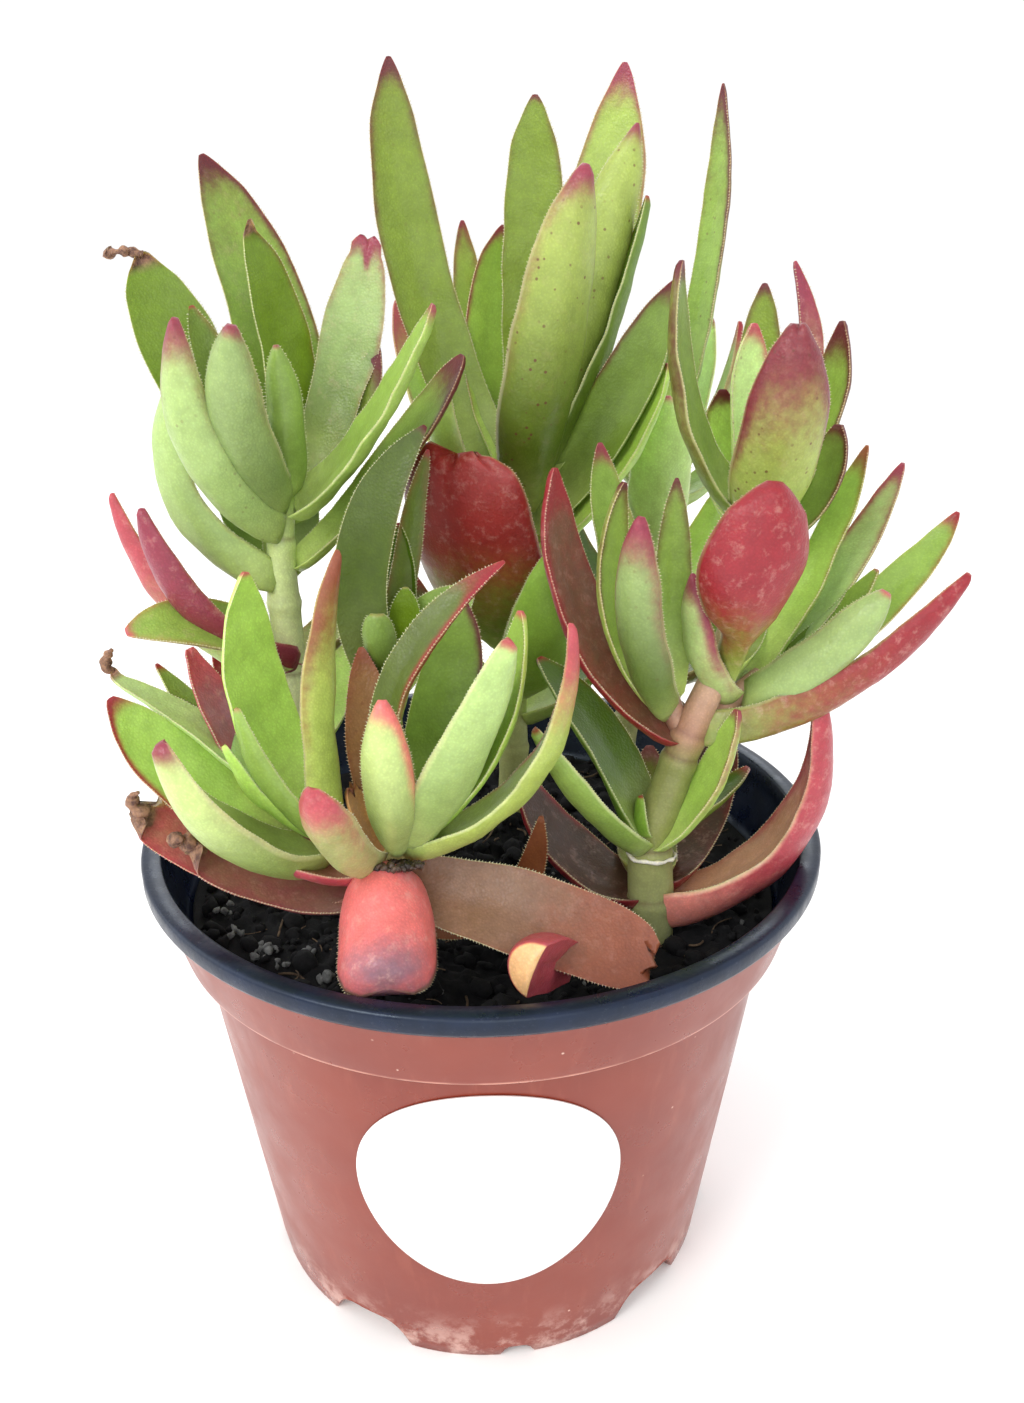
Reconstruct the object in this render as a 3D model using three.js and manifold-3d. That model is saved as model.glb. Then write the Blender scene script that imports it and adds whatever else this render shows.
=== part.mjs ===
import * as THREE from 'three';
import { mergeVertices } from 'three/addons/utils/BufferGeometryUtils.js';
import Module from 'manifold-3d';

const wasm = await Module();
wasm.setup();

// Potted campfire crassula, millimetres, +Z up.
// The origin is the middle of the pot's underside, on the surface that it stands on.
// The front of the pot, with the label, looks along -Y.

// Pot
const POT_HEIGHT = 81.7;
const RIM_OUTER_R = 57;
const RIM_INNER_R = 53.8;
const RIM_DEPTH = 3;
const RIM_CORNER = 0.6;
const COLLAR_R = 55.4;
const COLLAR_FOOT_R = 52.4;
const STEP_Z = 67.2;
const STEP_RISE = 0.8;
const STEP_R = 49.5;
const BASE_R = 41.2;
const WALL = 1.5;
const LEDGE_THICK = 1;
const FLOOR_Z = 5;
const FLOOR_THICK = 1.4;
const CENTRE_FOOT_R = 18;
const CENTRE_FOOT_TOP_R = 21;
const FOOT_RING_WIDTH = 3.2;
const FOOT_RING_TAPER = 0.6;
const POT_SIDES = 48;
const NOTCH_COUNT = 5;
const WIDE_NOTCH_AZ = -120;
const WIDE_NOTCH_SPAN = 21;
const WIDE_NOTCH_HEIGHT = 5.6;
const SMALL_NOTCH_AZ = -84;
const SMALL_NOTCH_SPAN = 8;
const SMALL_NOTCH_HEIGHT = 2.2;
const NOTCH_FLARE = 0.4;
const NOTCH_SHOULDER = 0.85;
const NOTCH_CROWN = 0.3;
const NOTCH_DEPTH = 8;
const NOTCH_UNDERCUT = 1;

// Label, a round sticker bent to the wall
const LABEL_AZ = -90;
const LABEL_Z = 41.4;
const LABEL_HALF_WIDTH = 20.5;
const LABEL_HALF_HEIGHT = 21.2;
const LABEL_THICK = 0.4;
const LABEL_GAP = 0.3;
const LABEL_RINGS = 3;
const LABEL_SIDES = 28;

// Potting mix
const SOIL_Z = 69;
const SOIL_GAP = 0.35;
const SOIL_SIDES = 26;
const SOIL_RINGS = 5;
const SOIL_FOOT_IN = 2.6;
const HEAP_HEIGHT = 1.3;
const HEAP_LOBES = 3;
const HEAP_PITCH = 30;
const STEM_DEPTH = 16;
const HOLE_GAP = 0.95;
const HOLE_SIDES = 14;
const HOLE_ABOVE = 12;

// Stems and leaves
const STEM_SIDES = 7;
const STEM_CROWN = 1;
const SHORT_LEAF = 52;
const FACE_LIFT = 0.35;
const CUP = 0.16;
const EDGE_BODY = 0.55;
const TIP_THINNING = 0.35;

const rad = THREE.MathUtils.degToRad;
const slope = (STEP_R - BASE_R) / (STEP_Z - STEP_RISE);
const wallRadius = (z) => BASE_R + slope * z;

const finish = (name, color, roughness) => {
  const material = new THREE.MeshStandardMaterial({ color, roughness, metalness: 0 });
  material.name = name;
  return material;
};

const terracotta = finish('pot_plastic', 0xa44a32, 0.5);
const paper = finish('label_paper', 0xf4f4f2, 0.6);
const soilDark = finish('potting_mix', 0x1c1a19, 0.95);
const leafGreen = finish('leaf_green', 0x8fae4a, 0.45);

// Closed mesh helpers

function toSolid(geometry) {
  const bare = geometry.index ? geometry.toNonIndexed() : geometry.clone();
  bare.deleteAttribute('normal');
  bare.deleteAttribute('uv');
  const merged = mergeVertices(bare, 1e-4);
  return new wasm.Manifold(new wasm.Mesh({
    numProp: 3,
    vertProperties: new Float32Array(merged.attributes.position.array),
    triVerts: new Uint32Array(merged.index.array),
  }));
}

function toGeometry(solid) {
  const mesh = solid.getMesh();
  const geometry = new THREE.BufferGeometry();
  geometry.setAttribute('position', new THREE.BufferAttribute(mesh.vertProperties, 3));
  geometry.setIndex(new THREE.BufferAttribute(mesh.triVerts, 1));
  geometry.computeVertexNormals();
  return geometry;
}

function indexed(points, faces) {
  const geometry = new THREE.BufferGeometry();
  const flat = points.flatMap((p) => [p.x, p.y, p.z]);
  geometry.setAttribute('position', new THREE.Float32BufferAttribute(flat, 3));
  geometry.setIndex(faces.flat());
  return geometry;
}

// Skin over rings of points that run from a flat root cap to one tip point.
function loft(rings, tip) {
  const points = rings.flat();
  const sides = rings[0].length;
  const faces = [];
  for (let j = 0; j + 1 < rings.length; j += 1) {
    for (let i = 0; i < sides; i += 1) {
      const a = j * sides + i;
      const b = j * sides + ((i + 1) % sides);
      faces.push([a, b, b + sides], [a, b + sides, a + sides]);
    }
  }
  const root = rings[0].reduce((sum, p) => sum.add(p), new THREE.Vector3()).divideScalar(sides);
  const rootIndex = points.push(root) - 1;
  const tipIndex = points.push(tip) - 1;
  const last = (rings.length - 1) * sides;
  for (let i = 0; i < sides; i += 1) {
    const k = (i + 1) % sides;
    faces.push([rootIndex, k, i], [last + i, last + k, tipIndex]);
  }
  return indexed(points, faces);
}

// Pot

function potGeometry() {
  const inner = (z) => wallRadius(z) - WALL;
  const rimUnderside = POT_HEIGHT - RIM_DEPTH;
  const ledge = STEP_Z + LEDGE_THICK;
  const floorTop = FLOOR_Z + FLOOR_THICK;
  const profile = [
    [0, 0],
    [CENTRE_FOOT_R, 0],
    [CENTRE_FOOT_TOP_R, FLOOR_Z],
    [BASE_R - FOOT_RING_WIDTH, FLOOR_Z],
    [BASE_R - FOOT_RING_WIDTH + FOOT_RING_TAPER, 0],
    [BASE_R, 0],
    [STEP_R, STEP_Z - STEP_RISE],
    [COLLAR_FOOT_R, STEP_Z],
    [COLLAR_R, rimUnderside],
    [RIM_OUTER_R, rimUnderside + RIM_CORNER],
    [RIM_OUTER_R, POT_HEIGHT - RIM_CORNER],
    [RIM_OUTER_R - RIM_CORNER, POT_HEIGHT],
    [RIM_INNER_R, POT_HEIGHT],
    [COLLAR_R - WALL, rimUnderside],
    [COLLAR_FOOT_R - WALL, ledge],
    [STEP_R - WALL, ledge - STEP_RISE],
    [inner(floorTop), floorTop],
    [CENTRE_FOOT_TOP_R - WALL, floorTop],
    [CENTRE_FOOT_R - WALL, FLOOR_THICK],
    [0, FLOOR_THICK],
  ];
  const outline = profile.map(([r, z]) => new THREE.Vector2(r, z));
  const shell = new THREE.LatheGeometry(outline, POT_SIDES).rotateX(Math.PI / 2);
  let pot = toSolid(shell);
  for (let k = 0; k < NOTCH_COUNT; k += 1) {
    const turn = (360 / NOTCH_COUNT) * k;
    pot = pot.subtract(notch(WIDE_NOTCH_AZ + turn, WIDE_NOTCH_SPAN, WIDE_NOTCH_HEIGHT));
    pot = pot.subtract(notch(SMALL_NOTCH_AZ + turn, SMALL_NOTCH_SPAN, SMALL_NOTCH_HEIGHT));
  }
  return toGeometry(pot);
}

// Arched cut through the foot ring, centred on an azimuth in degrees.
function notch(azimuth, span, height) {
  const half = BASE_R * rad(span / 2);
  const shoulder = half * NOTCH_SHOULDER;
  const crown = half * NOTCH_CROWN;
  const foot = half + NOTCH_FLARE;
  const shape = new THREE.Shape();
  shape.moveTo(-foot, -NOTCH_UNDERCUT);
  shape.lineTo(foot, -NOTCH_UNDERCUT);
  shape.quadraticCurveTo(shoulder, height, crown, height);
  shape.lineTo(-crown, height);
  shape.quadraticCurveTo(-shoulder, height, -foot, -NOTCH_UNDERCUT);
  const cut = new THREE.ExtrudeGeometry(shape, {
    depth: NOTCH_DEPTH,
    bevelEnabled: false,
    curveSegments: 3,
  });
  cut.rotateX(Math.PI / 2).translate(0, BASE_R + NOTCH_DEPTH / 2, 0);
  cut.rotateZ(rad(azimuth - 90));
  return toSolid(cut);
}

// Label

function labelGeometry() {
  const rings = [];
  for (let j = 1; j <= LABEL_RINGS; j += 1) {
    rings.push(j / LABEL_RINGS);
  }
  const place = (share, angle, lift) => {
    const across = share * LABEL_HALF_WIDTH * Math.cos(angle);
    const z = LABEL_Z + share * LABEL_HALF_HEIGHT * Math.sin(angle);
    const r = wallRadius(z) + LABEL_GAP + lift;
    const az = rad(LABEL_AZ) + across / wallRadius(LABEL_Z);
    return new THREE.Vector3(r * Math.cos(az), r * Math.sin(az), z);
  };
  const points = [];
  const faces = [];
  for (const lift of [0, LABEL_THICK]) {
    points.push(place(0, 0, lift));
    for (const share of rings) {
      for (let i = 0; i < LABEL_SIDES; i += 1) {
        points.push(place(share, (2 * Math.PI * i) / LABEL_SIDES, lift));
      }
    }
  }
  const sheet = 1 + LABEL_RINGS * LABEL_SIDES;
  const at = (side, j, i) => side * sheet + 1 + j * LABEL_SIDES + (i % LABEL_SIDES);
  for (let i = 0; i < LABEL_SIDES; i += 1) {
    faces.push([0, at(0, 0, i + 1), at(0, 0, i)]);
    faces.push([sheet, at(1, 0, i), at(1, 0, i + 1)]);
    for (let j = 0; j + 1 < LABEL_RINGS; j += 1) {
      faces.push([at(0, j, i), at(0, j, i + 1), at(0, j + 1, i + 1)]);
      faces.push([at(0, j, i), at(0, j + 1, i + 1), at(0, j + 1, i)]);
      faces.push([at(1, j, i), at(1, j + 1, i + 1), at(1, j, i + 1)]);
      faces.push([at(1, j, i), at(1, j + 1, i), at(1, j + 1, i + 1)]);
    }
    const edge = LABEL_RINGS - 1;
    faces.push([at(0, edge, i), at(0, edge, i + 1), at(1, edge, i + 1)]);
    faces.push([at(0, edge, i), at(1, edge, i + 1), at(1, edge, i)]);
  }
  return indexed(points, faces);
}

// Stems: each path runs up from the soil, as x, y, z and radius.

const STEMS = {
  back_left_stem: [
    [[-33.4, 5, 53, 2.8], [-33.4, 5, 72, 2.9], [-33.6, 5, 85, 2.9], [-32, 5, 104, 2.8],
      [-32.3, 5, 122, 2.5], [-30.6, 5, 137, 1.5]],
  ],
  front_stem: [
    [[-14.8, -29, 53, 2.8], [-14.8, -29, 72, 2.8], [-14.4, -30.5, 88, 2.4]],
    [[-14.4, -30.5, 87, 2.0], [-12.2, -31, 92, 1.9], [-11.6, -31, 99, 1.2]],
    [[-15, -29, 83, 2.0], [-20, -28, 87, 1.8], [-23, -28, 95, 1.2]],
  ],
  middle_stem: [
    [[-13, -6, 53, 2.2], [-13, -6, 72, 2.2], [-14, -7, 90, 2.0], [-14.6, -8, 113, 1.2]],
  ],
  back_centre_stem: [
    [[6, 20, 53, 2.9], [6, 20, 72, 2.9], [6, 21, 95, 2.5], [7.4, 22, 128, 2.2], [8, 23, 140, 1.4]],
  ],
  back_right_stem: [
    [[28.5, 32, 53, 2.5], [28.5, 32, 72, 2.5], [31.5, 35.5, 100, 2.2], [35, 40, 138, 1.3]],
  ],
  right_stem: [
    [[26.8, -19.5, 53, 3.7], [26.8, -19.5, 72, 3.7], [26.3, -19, 84, 3.4], [29, -18.5, 95, 2.9],
      [31.5, -18.5, 103.5, 2.6], [35, -17, 112, 2.2]],
    [[34.5, -17, 110, 2.0], [40, -8, 121, 1.9], [43.5, -1, 131, 1.8], [44, 1, 136, 1.2]],
    [[33, -18, 104, 2.0], [39, -15, 108, 1.8], [43, -13, 111, 1.2]],
    [[31.5, -18.5, 102, 1.9], [29, -17, 107, 1.7], [28, -17, 111, 1.1]],
    [[26.3, -19, 82, 2.0], [25.5, -20, 87, 1.6], [25.4, -20, 89, 1.0]],
  ],
};

// Leaves of each stem: root point, tip point, widest width, thickness, outward bow,
// sideways bow, turn about the blade's own length in degrees, and outline.

const LEAVES = {
  back_left_stem: [
    // top rosette
    ['a1', [-31, 7, 134], [-42.6, 23, 186], 15.2, 2.4, 1, 5.5, 0, 'blade'],
    ['a2', [-29.5, 6, 135], [-34.7, 12, 176], 11, 2.2, 1, 4, 10, 'blade'],
    ['a3', [-32, 6, 131], [-51.6, 14, 171.5], 12.5, 2.4, 1.5, 0, -45, 'oar'],
    ['a4', [-32, 4, 130], [-41.5, -7, 163.5], 8.5, 3, 6, 0, 20, 'blade'],
    ['a5', [-30.5, 4, 135], [-33, -11, 162.8], 9, 4, 3, 2, 0, 'fat'],
    ['a6', [-30, 4, 136], [-28.8, -3, 159.5], 6, 2.2, 1, -0.5, 0, 'blade'],
    ['a7', [-31, 6, 134], [-43.5, 10, 164.3], 7, 2, 1, 0, -50, 'blade'],
    ['a8', [-29, 4, 133], [-5.8, -8, 165], 11, 2.4, 2, 0, 35, 'blade'],
    ['a9', [-30, 5, 124], [-1.8, 4, 157.2], 9.5, 2.4, 1.5, 0, 30, 'oar'],
    ['a10', [-29, 6, 134], [-16.4, 16, 174.2], 9.8, 2.2, 2, 0, 40, 'oar'],
    ['a11', [-29, 6, 133], [-15.4, 12, 158], 7, 2.4, 2, 0, 40, 'blade'],
    ['a12', [-32.5, 4, 122], [-44, 6, 156], 11, 4, 9, 0, 40, 'fat'],
    ['a13', [-32, 6, 122], [-42, 17, 144], 9, 2.4, 4, 0, 0, 'blade'],
    ['a14', [-30, 7, 132], [-26, 25, 155], 9, 2.4, 5, 0, 0, 'blade'],
    ['a15', [-31, 6, 123], [-33, 27, 152], 10, 2.8, 5, 0, 0, 'blade'],
    // lower leaves
    ['m1', [-31, 4, 108], [-50.3, -5, 136.5], 10, 3, 5, 0, 20, 'blade'],
    ['m2', [-32, 5, 104], [-58.6, 8, 136.2], 8, 2.6, 6, 0, 45, 'blade'],
    ['m3', [-32, 4, 107.5], [-54.2, -10, 118], 10.5, 2.6, -4, 0, -35, 'blade'],
    ['m4', [-31, 6, 108], [-19, 24, 128], 9, 3, 5, 0, 0, 'blade'],
    ['m5', [-33, 5, 92], [-47, 22, 112], 10, 2.8, 5, 0, 0, 'blade'],
    ['m6', [-33, 6, 90], [-26, 28, 106], 9, 2.8, 5, 0, 0, 'blade'],
  ],
  front_stem: [
    // front rosette
    ['c1', [-12.5, -31, 94], [3.8, -26, 133], 5.5, 2.4, -8.5, 0, 30, 'blade'],
    ['c2', [-11.5, -30, 94], [-2.5, -21, 126.5], 9.5, 2.2, 2, 0, 50, 'blade'],
    ['c3', [-12, -32, 93], [-12.5, -41.5, 119.7], 7.2, 3, 3, 0, 0, 'fat'],
    ['c4', [-11.5, -32, 94], [3.2, -41, 127.3], 12, 4.5, 1, 0, 0, 'fat'],
    ['c5', [-11, -31, 94], [5.2, -32, 128], 8.5, 2.4, 4, 0, 30, 'blade'],
    ['c6', [-11.5, -31.5, 92], [11.3, -36, 127.6], 8, 2.8, 7.5, 0, 0, 'blade'],
    // left rosette
    ['l1', [-23.4, -27, 92], [-32.3, -21, 130.6], 11.4, 2.6, 5.4, 0, 0, 'blade'],
    ['l2', [-21.5, -28, 91], [-18.9, -26, 135], 7, 2.4, -3.2, 0, -60, 'blade'],
    ['l3', [-23, -28.5, 93], [-32.8, -32, 115], 6, 2, 2, 0, 20, 'blade'],
    ['l4', [-23, -28, 93], [-35.7, -30, 108.6], 5, 1.8, 2, 0, 20, 'blade'],
    ['l5', [-22.5, -29, 90], [-40.7, -40, 113.8], 11.5, 5, 4, 0, 0, 'fat'],
    ['l6', [-23, -27, 90], [-53.5, -22, 112.6], 12, 3, 3.5, 0, -30, 'blade'],
    ['l7', [-24, -26, 91], [-57, -13, 113], 6, 2, -3, 0, 0, 'blade'],
    ['l8', [-23, -26, 92], [-50.3, -9, 113], 6, 2, 2, 0, 0, 'blade'],
    ['l9', [-22, -26, 90], [-43.5, -14, 117.3], 9, 2.4, 3, 0, 0, 'blade'],
    ['l10', [-15, -33, 91.5], [-21.3, -46, 109.7], 7.6, 4.5, 1.5, 0, 0, 'oar'],
    // low leaves
    ['k1', [-14.4, -31, 88], [-13, -50.5, 80.6], 13.8, 8, -2, 0, 0, 'barrel'],
    ['k2', [-13, -30.5, 86], [24.6, -42, 78], 12.5, 2.8, -1.5, 0, 42, 'broken'],
    ['k3', [-16, -30, 87.4], [-38, -34, 97], 9, 2.4, 1, 0, 0, 'blade'],
    ['k4', [-16, -29, 82], [-43.5, -29, 92], 10, 2.4, 1.5, 0, -20, 'broken'],
    ['k5', [-16, -28, 83], [-52, -24, 95.5], 9, 2.2, 4, 0, -20, 'broken'],
    ['k6', [12.5, -38, 77], [6.3, -47.5, 82], 8.4, 6.5, 0, 0, -100, 'cut'],
    ['k7', [-15, -29.5, 88], [-18.8, -27, 101], 4.5, 2, 0, 0, 0, 'broken'],
    ['k8', [-14, -29, 87], [-17.9, -14, 117], 7, 2.2, 2, 0, 0, 'blade'],
    ['k9', [-13, -28, 78], [8.9, -22, 92.4], 5.2, 2, 10, 0, 40, 'blade'],
  ],
  middle_stem: [
    ['b1', [-15, -8, 108], [-7.2, -5, 148], 8.5, 2.6, -7, 0, 60, 'blade'],
    ['b2', [-14.5, -7, 109], [-12.4, -2, 133], 6, 2, 2, 0, 0, 'blade'],
    ['b3', [-14.5, -6.5, 108], [-7.5, 2, 143.5], 4.5, 2, -1, 0, 60, 'blade'],
    ['b4', [-14.5, -8.5, 110], [-11.3, -9, 124.6], 5.5, 1.8, 1, 0, 90, 'blade'],
    ['b5', [-14.8, -9, 110], [-15.2, -14, 122.1], 5.5, 2, 1, 0, 0, 'stub'],
    ['b6', [-14, -8.5, 108], [-0.7, -8, 123.5], 9, 2.4, -2, 0, 60, 'blade'],
    ['b7', [-15, -7, 106], [-20, 5, 124], 8, 2.4, 3, 0, 0, 'blade'],
    ['b8', [-14, -7, 92], [-4, -2, 112], 8, 2.4, 4, 0, 0, 'blade'],
  ],
  back_centre_stem: [
    // top rosette
    ['d1', [6.5, 23, 131], [-13.3, 34, 201], 10.5, 2.8, 6, 0, -50, 'strap'],
    ['d2', [9.3, 24, 135], [10.4, 34, 195.5], 10.8, 2.6, 2, 0, 0, 'strap'],
    ['d3', [8.5, 24, 134], [25.8, 40, 201], 14.4, 2.6, 4, 0, 30, 'blade'],
    ['d4', [9, 23, 134], [26.6, 27, 190.6], 11, 3, 0, 0, -100, 'blade'],
    ['d5', [8, 22, 130], [16.4, 6, 183.4], 13.5, 4.5, 3, 3, 0, 'fat'],
    ['d6', [9, 24, 133], [27.9, 24, 180], 8, 2.6, 2, 0, 0, 'blade'],
    ['d7', [7.5, 25, 134], [5.4, 37, 176], 12, 2.4, 3, -3, 20, 'blade'],
    ['d8', [7, 25, 132], [-2, 45, 177], 8, 2.4, 5, 0, 0, 'blade'],
    ['d9', [9, 23, 126], [31.8, 14, 167.4], 12.5, 3, 2, 0, 60, 'blade'],
    ['d10', [8.5, 22, 122], [30.7, 13, 155], 10, 3, 3, 0, 40, 'blade'],
    ['d11', [6.5, 22, 124], [-5, 16, 153], 10, 3, 5, 0, 0, 'blade'],
    ['d12', [7, 25, 126], [-14.8, 50, 163.4], 9, 2.6, 6, 0, 0, 'blade'],
    ['d13', [8, 25, 126], [18, 52, 165], 11, 3, 6, 0, 0, 'blade'],
    // lower leaves
    ['r1', [6, 20.5, 104], [-3.2, 3, 144], 24, 3.4, 4, 0, 0, 'broken'],
    ['r2', [6.5, 23, 108], [14, 44, 140], 16, 3.4, 5, 0, 0, 'blade'],
    ['n1', [6.5, 20, 96], [11.3, -1, 128], 13, 3, 5, 0, 0, 'blade'],
    ['n2', [5.5, 22, 92], [-14, 36, 116], 11, 3, 5, 0, 0, 'blade'],
    ['n3', [7, 21, 90], [26, 25, 116], 10, 3, 5, 0, 0, 'blade'],
  ],
  back_right_stem: [
    ['e1', [35, 40, 135], [43.7, 46, 198.6], 7, 2.2, 4, 0, 0, 'blade'],
    ['e2', [34.5, 40, 130], [44.8, 49, 160], 7, 2.2, 3, 0, 0, 'blade'],
    ['e3', [35, 39, 131], [47.5, 38, 160], 5.5, 2.2, 3, 0, 0, 'blade'],
    ['e4', [34, 39, 126], [49, 44, 150], 8, 2.4, 7, 0, 0, 'blade'],
    ['e5', [33.5, 37, 118], [32.3, 22, 149], 11, 3.4, 3, 0, 0, 'fat'],
    ['e6', [34, 40, 128], [24, 56, 158], 9, 2.6, 5, 0, 0, 'blade'],
    ['e7', [34.5, 41, 132], [40, 60, 158], 8, 2.4, 4, 0, 0, 'blade'],
    ['e8', [32.5, 37, 108], [50, 52, 128], 11, 3, 6, 0, 0, 'blade'],
    ['e9', [32, 36, 106], [16, 50, 128], 10, 3, 5, 0, 0, 'blade'],
    ['e10', [31.5, 35, 92], [52, 28, 112], 10, 3, 5, 0, 0, 'blade'],
  ],
  right_stem: [
    // low leaves at the soil
    ['j1', [27, -19.5, 73.8], [49.8, -18, 109.7], 12.5, 5, 10.2, 0, -16, 'blade'],
    ['j2', [26.5, -19, 74.5], [6, -9, 93], 13, 2.8, 4, 0, 0, 'blade'],
    ['j3', [27, -18, 76], [43, 6, 96], 11, 2.8, 5, 0, 0, 'blade'],
    ['j4', [26.5, -18, 78], [30, 8, 90], 10, 2.8, 5, 0, 0, 'blade'],
    // lower small rosette
    ['i1', [26, -19, 85], [9, -6, 112], 10.5, 2.8, -3, 0, 0, 'blade'],
    ['i2', [25.6, -20.5, 85], [7.6, -28, 109.4], 8, 3, 1, 0, 0, 'fat'],
    ['i3', [26.4, -20, 85], [37, -24, 110], 7, 2.4, 2, 0, 30, 'blade'],
    ['i4', [26.6, -18.5, 86], [43.5, -10, 94], 4.8, 2.4, 1, 0, 0, 'blade'],
    ['i5', [25.4, -20, 87], [24.6, -20, 94], 4.5, 1.8, 0, 0, 0, 'blade'],
    // middle rosette
    ['h1', [28.4, -16, 107], [19.2, 4, 144], 8.5, 2.4, 3, 0, 0, 'blade'],
    ['h2', [28, -17, 107], [20.9, -16, 141.6], 7, 2.6, 4.4, 0, -40, 'blade'],
    ['h3', [28.2, -18, 107], [21.6, -27, 139.3], 7.2, 3, 3, 0.8, 0, 'fat'],
    ['h4', [28.6, -16.5, 108], [29.1, -10, 141], 5.5, 2.2, 1, 0, 0, 'blade'],
    ['h5', [30.5, -18.5, 102.5], [11.2, -12, 143], 10.5, 3, 6, 0, -20, 'blade'],
    // right rosette
    ['g1', [40, -14, 108], [61, 2, 143.5], 6, 2.4, 2, 0, 0, 'blade'],
    ['g2', [40, -14, 108], [68.6, 6, 140], 7.5, 2.4, 3, 0, 0, 'blade'],
    ['g3', [40.5, -14, 108], [76.6, 1, 133], 8, 2.6, 4, 0, 20, 'blade'],
    ['g4', [40, -15, 107.5], [58.5, -20, 126.5], 8, 4.5, 2, 0, -70, 'fat'],
    ['g5', [40.5, -14.5, 109], [61.6, -7, 126.1], 6, 2, 2, 0, 0, 'blade'],
    ['g6', [33, -18.5, 103.5], [70.9, -18, 128.4], 8.5, 3, 5, 0, -50, 'blade'],
    ['g7', [38.5, -15.5, 108], [30.6, -20, 129.5], 6.5, 2.4, 2.6, 0, 0, 'blade'],
    ['g8', [36.5, -15, 112], [39.2, -26, 143.6], 16.2, 5, 3, 1.3, 0, 'spoon'],
    ['g9', [36.5, -15, 112], [46, 6, 132], 9, 2.8, 4, 0, 0, 'blade'],
    // top right rosette
    ['f1', [43.5, -1, 131], [43.5, -15, 162.7], 12.5, 4.2, 4, 0, 0, 'fat'],
    ['f2', [43.5, 0, 133], [42, 3, 161.6], 8, 2.4, 1, 0, 0, 'blade'],
    ['f3', [44, 1, 133], [45.3, 12, 167], 8, 2.4, 3, 0, 0, 'blade'],
    ['f4', [45, 1, 132], [50.2, 14, 170.2], 4.6, 2.2, 4, 4.6, 40, 'blade'],
    ['f5', [44.5, 0, 131], [56.1, 6, 161.7], 8, 2.4, 4, 0, 0, 'blade'],
    ['f6', [44.5, 0, 129], [54.6, -2, 147.4], 9, 2.6, 3, 0, 40, 'blade'],
    ['f7', [43, 0, 132], [29, -7, 170.5], 8, 2.6, 5, 0, -50, 'blade'],
    ['f8', [43, 1, 130], [40, 13, 151], 9, 2.6, 3, 0, 0, 'blade'],
    ['f9', [44, 2, 129], [58, 18, 146], 9, 2.6, 5, 0, 0, 'blade'],
  ],
};

// Outline of a leaf: share of its widest width at shares of its length, root to tip.
const OUTLINES = {
  blade: [[0, 0.78], [0.2, 0.95], [0.45, 1], [0.7, 0.88], [0.87, 0.58], [0.96, 0.25]],
  strap: [[0, 0.8], [0.2, 0.88], [0.45, 1], [0.7, 0.95], [0.87, 0.72], [0.96, 0.33]],
  oar: [[0, 0.5], [0.2, 0.68], [0.45, 0.93], [0.7, 1], [0.87, 0.74], [0.96, 0.36]],
  fat: [[0, 0.5], [0.15, 0.78], [0.4, 1], [0.68, 0.93], [0.87, 0.62], [0.97, 0.25]],
  stub: [[0, 0.4], [0.15, 0.78], [0.4, 1], [0.7, 0.98], [0.89, 0.74], [0.98, 0.36]],
  barrel: [[0, 0.66], [0.12, 0.86], [0.4, 1], [0.7, 0.99], [0.9, 0.82], [0.98, 0.5]],
  spoon: [[0, 0.24], [0.28, 0.26], [0.42, 0.68], [0.66, 1], [0.86, 0.76], [0.95, 0.38]],
  cut: [[0, 0.6], [0.2, 0.8], [0.5, 0.96], [0.8, 1], [0.95, 0.94], [0.99, 0.8]],
  broken: [[0, 0.45], [0.2, 0.82], [0.45, 1], [0.76, 0.96], [0.93, 0.76], [0.99, 0.5]],
};

// Section of a blade: places across it, hollow on the inner face and round on the outer one.
const SECTION = {
  inner: [-1, 0, 1],
  outer: [0.6, 0, -0.6],
};

function leafSolid([, root, tip, width, thick, bow, side, turn, outline]) {
  const from = new THREE.Vector3(...root);
  const to = new THREE.Vector3(...tip);
  const chord = to.clone().sub(from);
  const along = chord.clone().normalize();
  const lean = new THREE.Vector3(-chord.x, -chord.y, 0).normalize();
  lean.addScaledVector(new THREE.Vector3(0, 0, 1), FACE_LIFT);
  lean.addScaledVector(along, -lean.dot(along)).normalize();
  const across = new THREE.Vector3().crossVectors(along, lean);
  const face = lean.clone().applyAxisAngle(along, rad(turn));
  const middle = from.clone().lerp(to, 0.5);
  middle.addScaledVector(lean, -2 * bow).addScaledVector(across, 2 * side);
  const midline = new THREE.QuadraticBezierCurve3(from, middle, to);
  const short = chord.length() < SHORT_LEAF;
  const stations = OUTLINES[outline].filter((station, j) => !short || j !== 1);
  const rings = stations.map(([s, share]) => {
    const centre = midline.getPoint(s);
    const tangent = midline.getTangent(s);
    const up = face.clone().addScaledVector(tangent, -face.dot(tangent)).normalize();
    const out = new THREE.Vector3().crossVectors(tangent, up);
    const half = (width * share) / 2;
    const cup = half * CUP * (1 - s / 2);
    const body = thick * (EDGE_BODY + (1 - EDGE_BODY) * share) * (1 - TIP_THINNING * s * s);
    const place = (u, depth) => centre.clone()
      .addScaledVector(out, u * half)
      .addScaledVector(up, cup * u * u - depth);
    const innerPoints = SECTION.inner.map((u) => place(u, 0));
    const outerPoints = SECTION.outer.map((u) => place(u, body * Math.sqrt(1 - u * u)));
    return innerPoints.concat(outerPoints);
  });
  const end = midline.getPoint(1);
  return toSolid(loft(rings, end));
}

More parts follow.
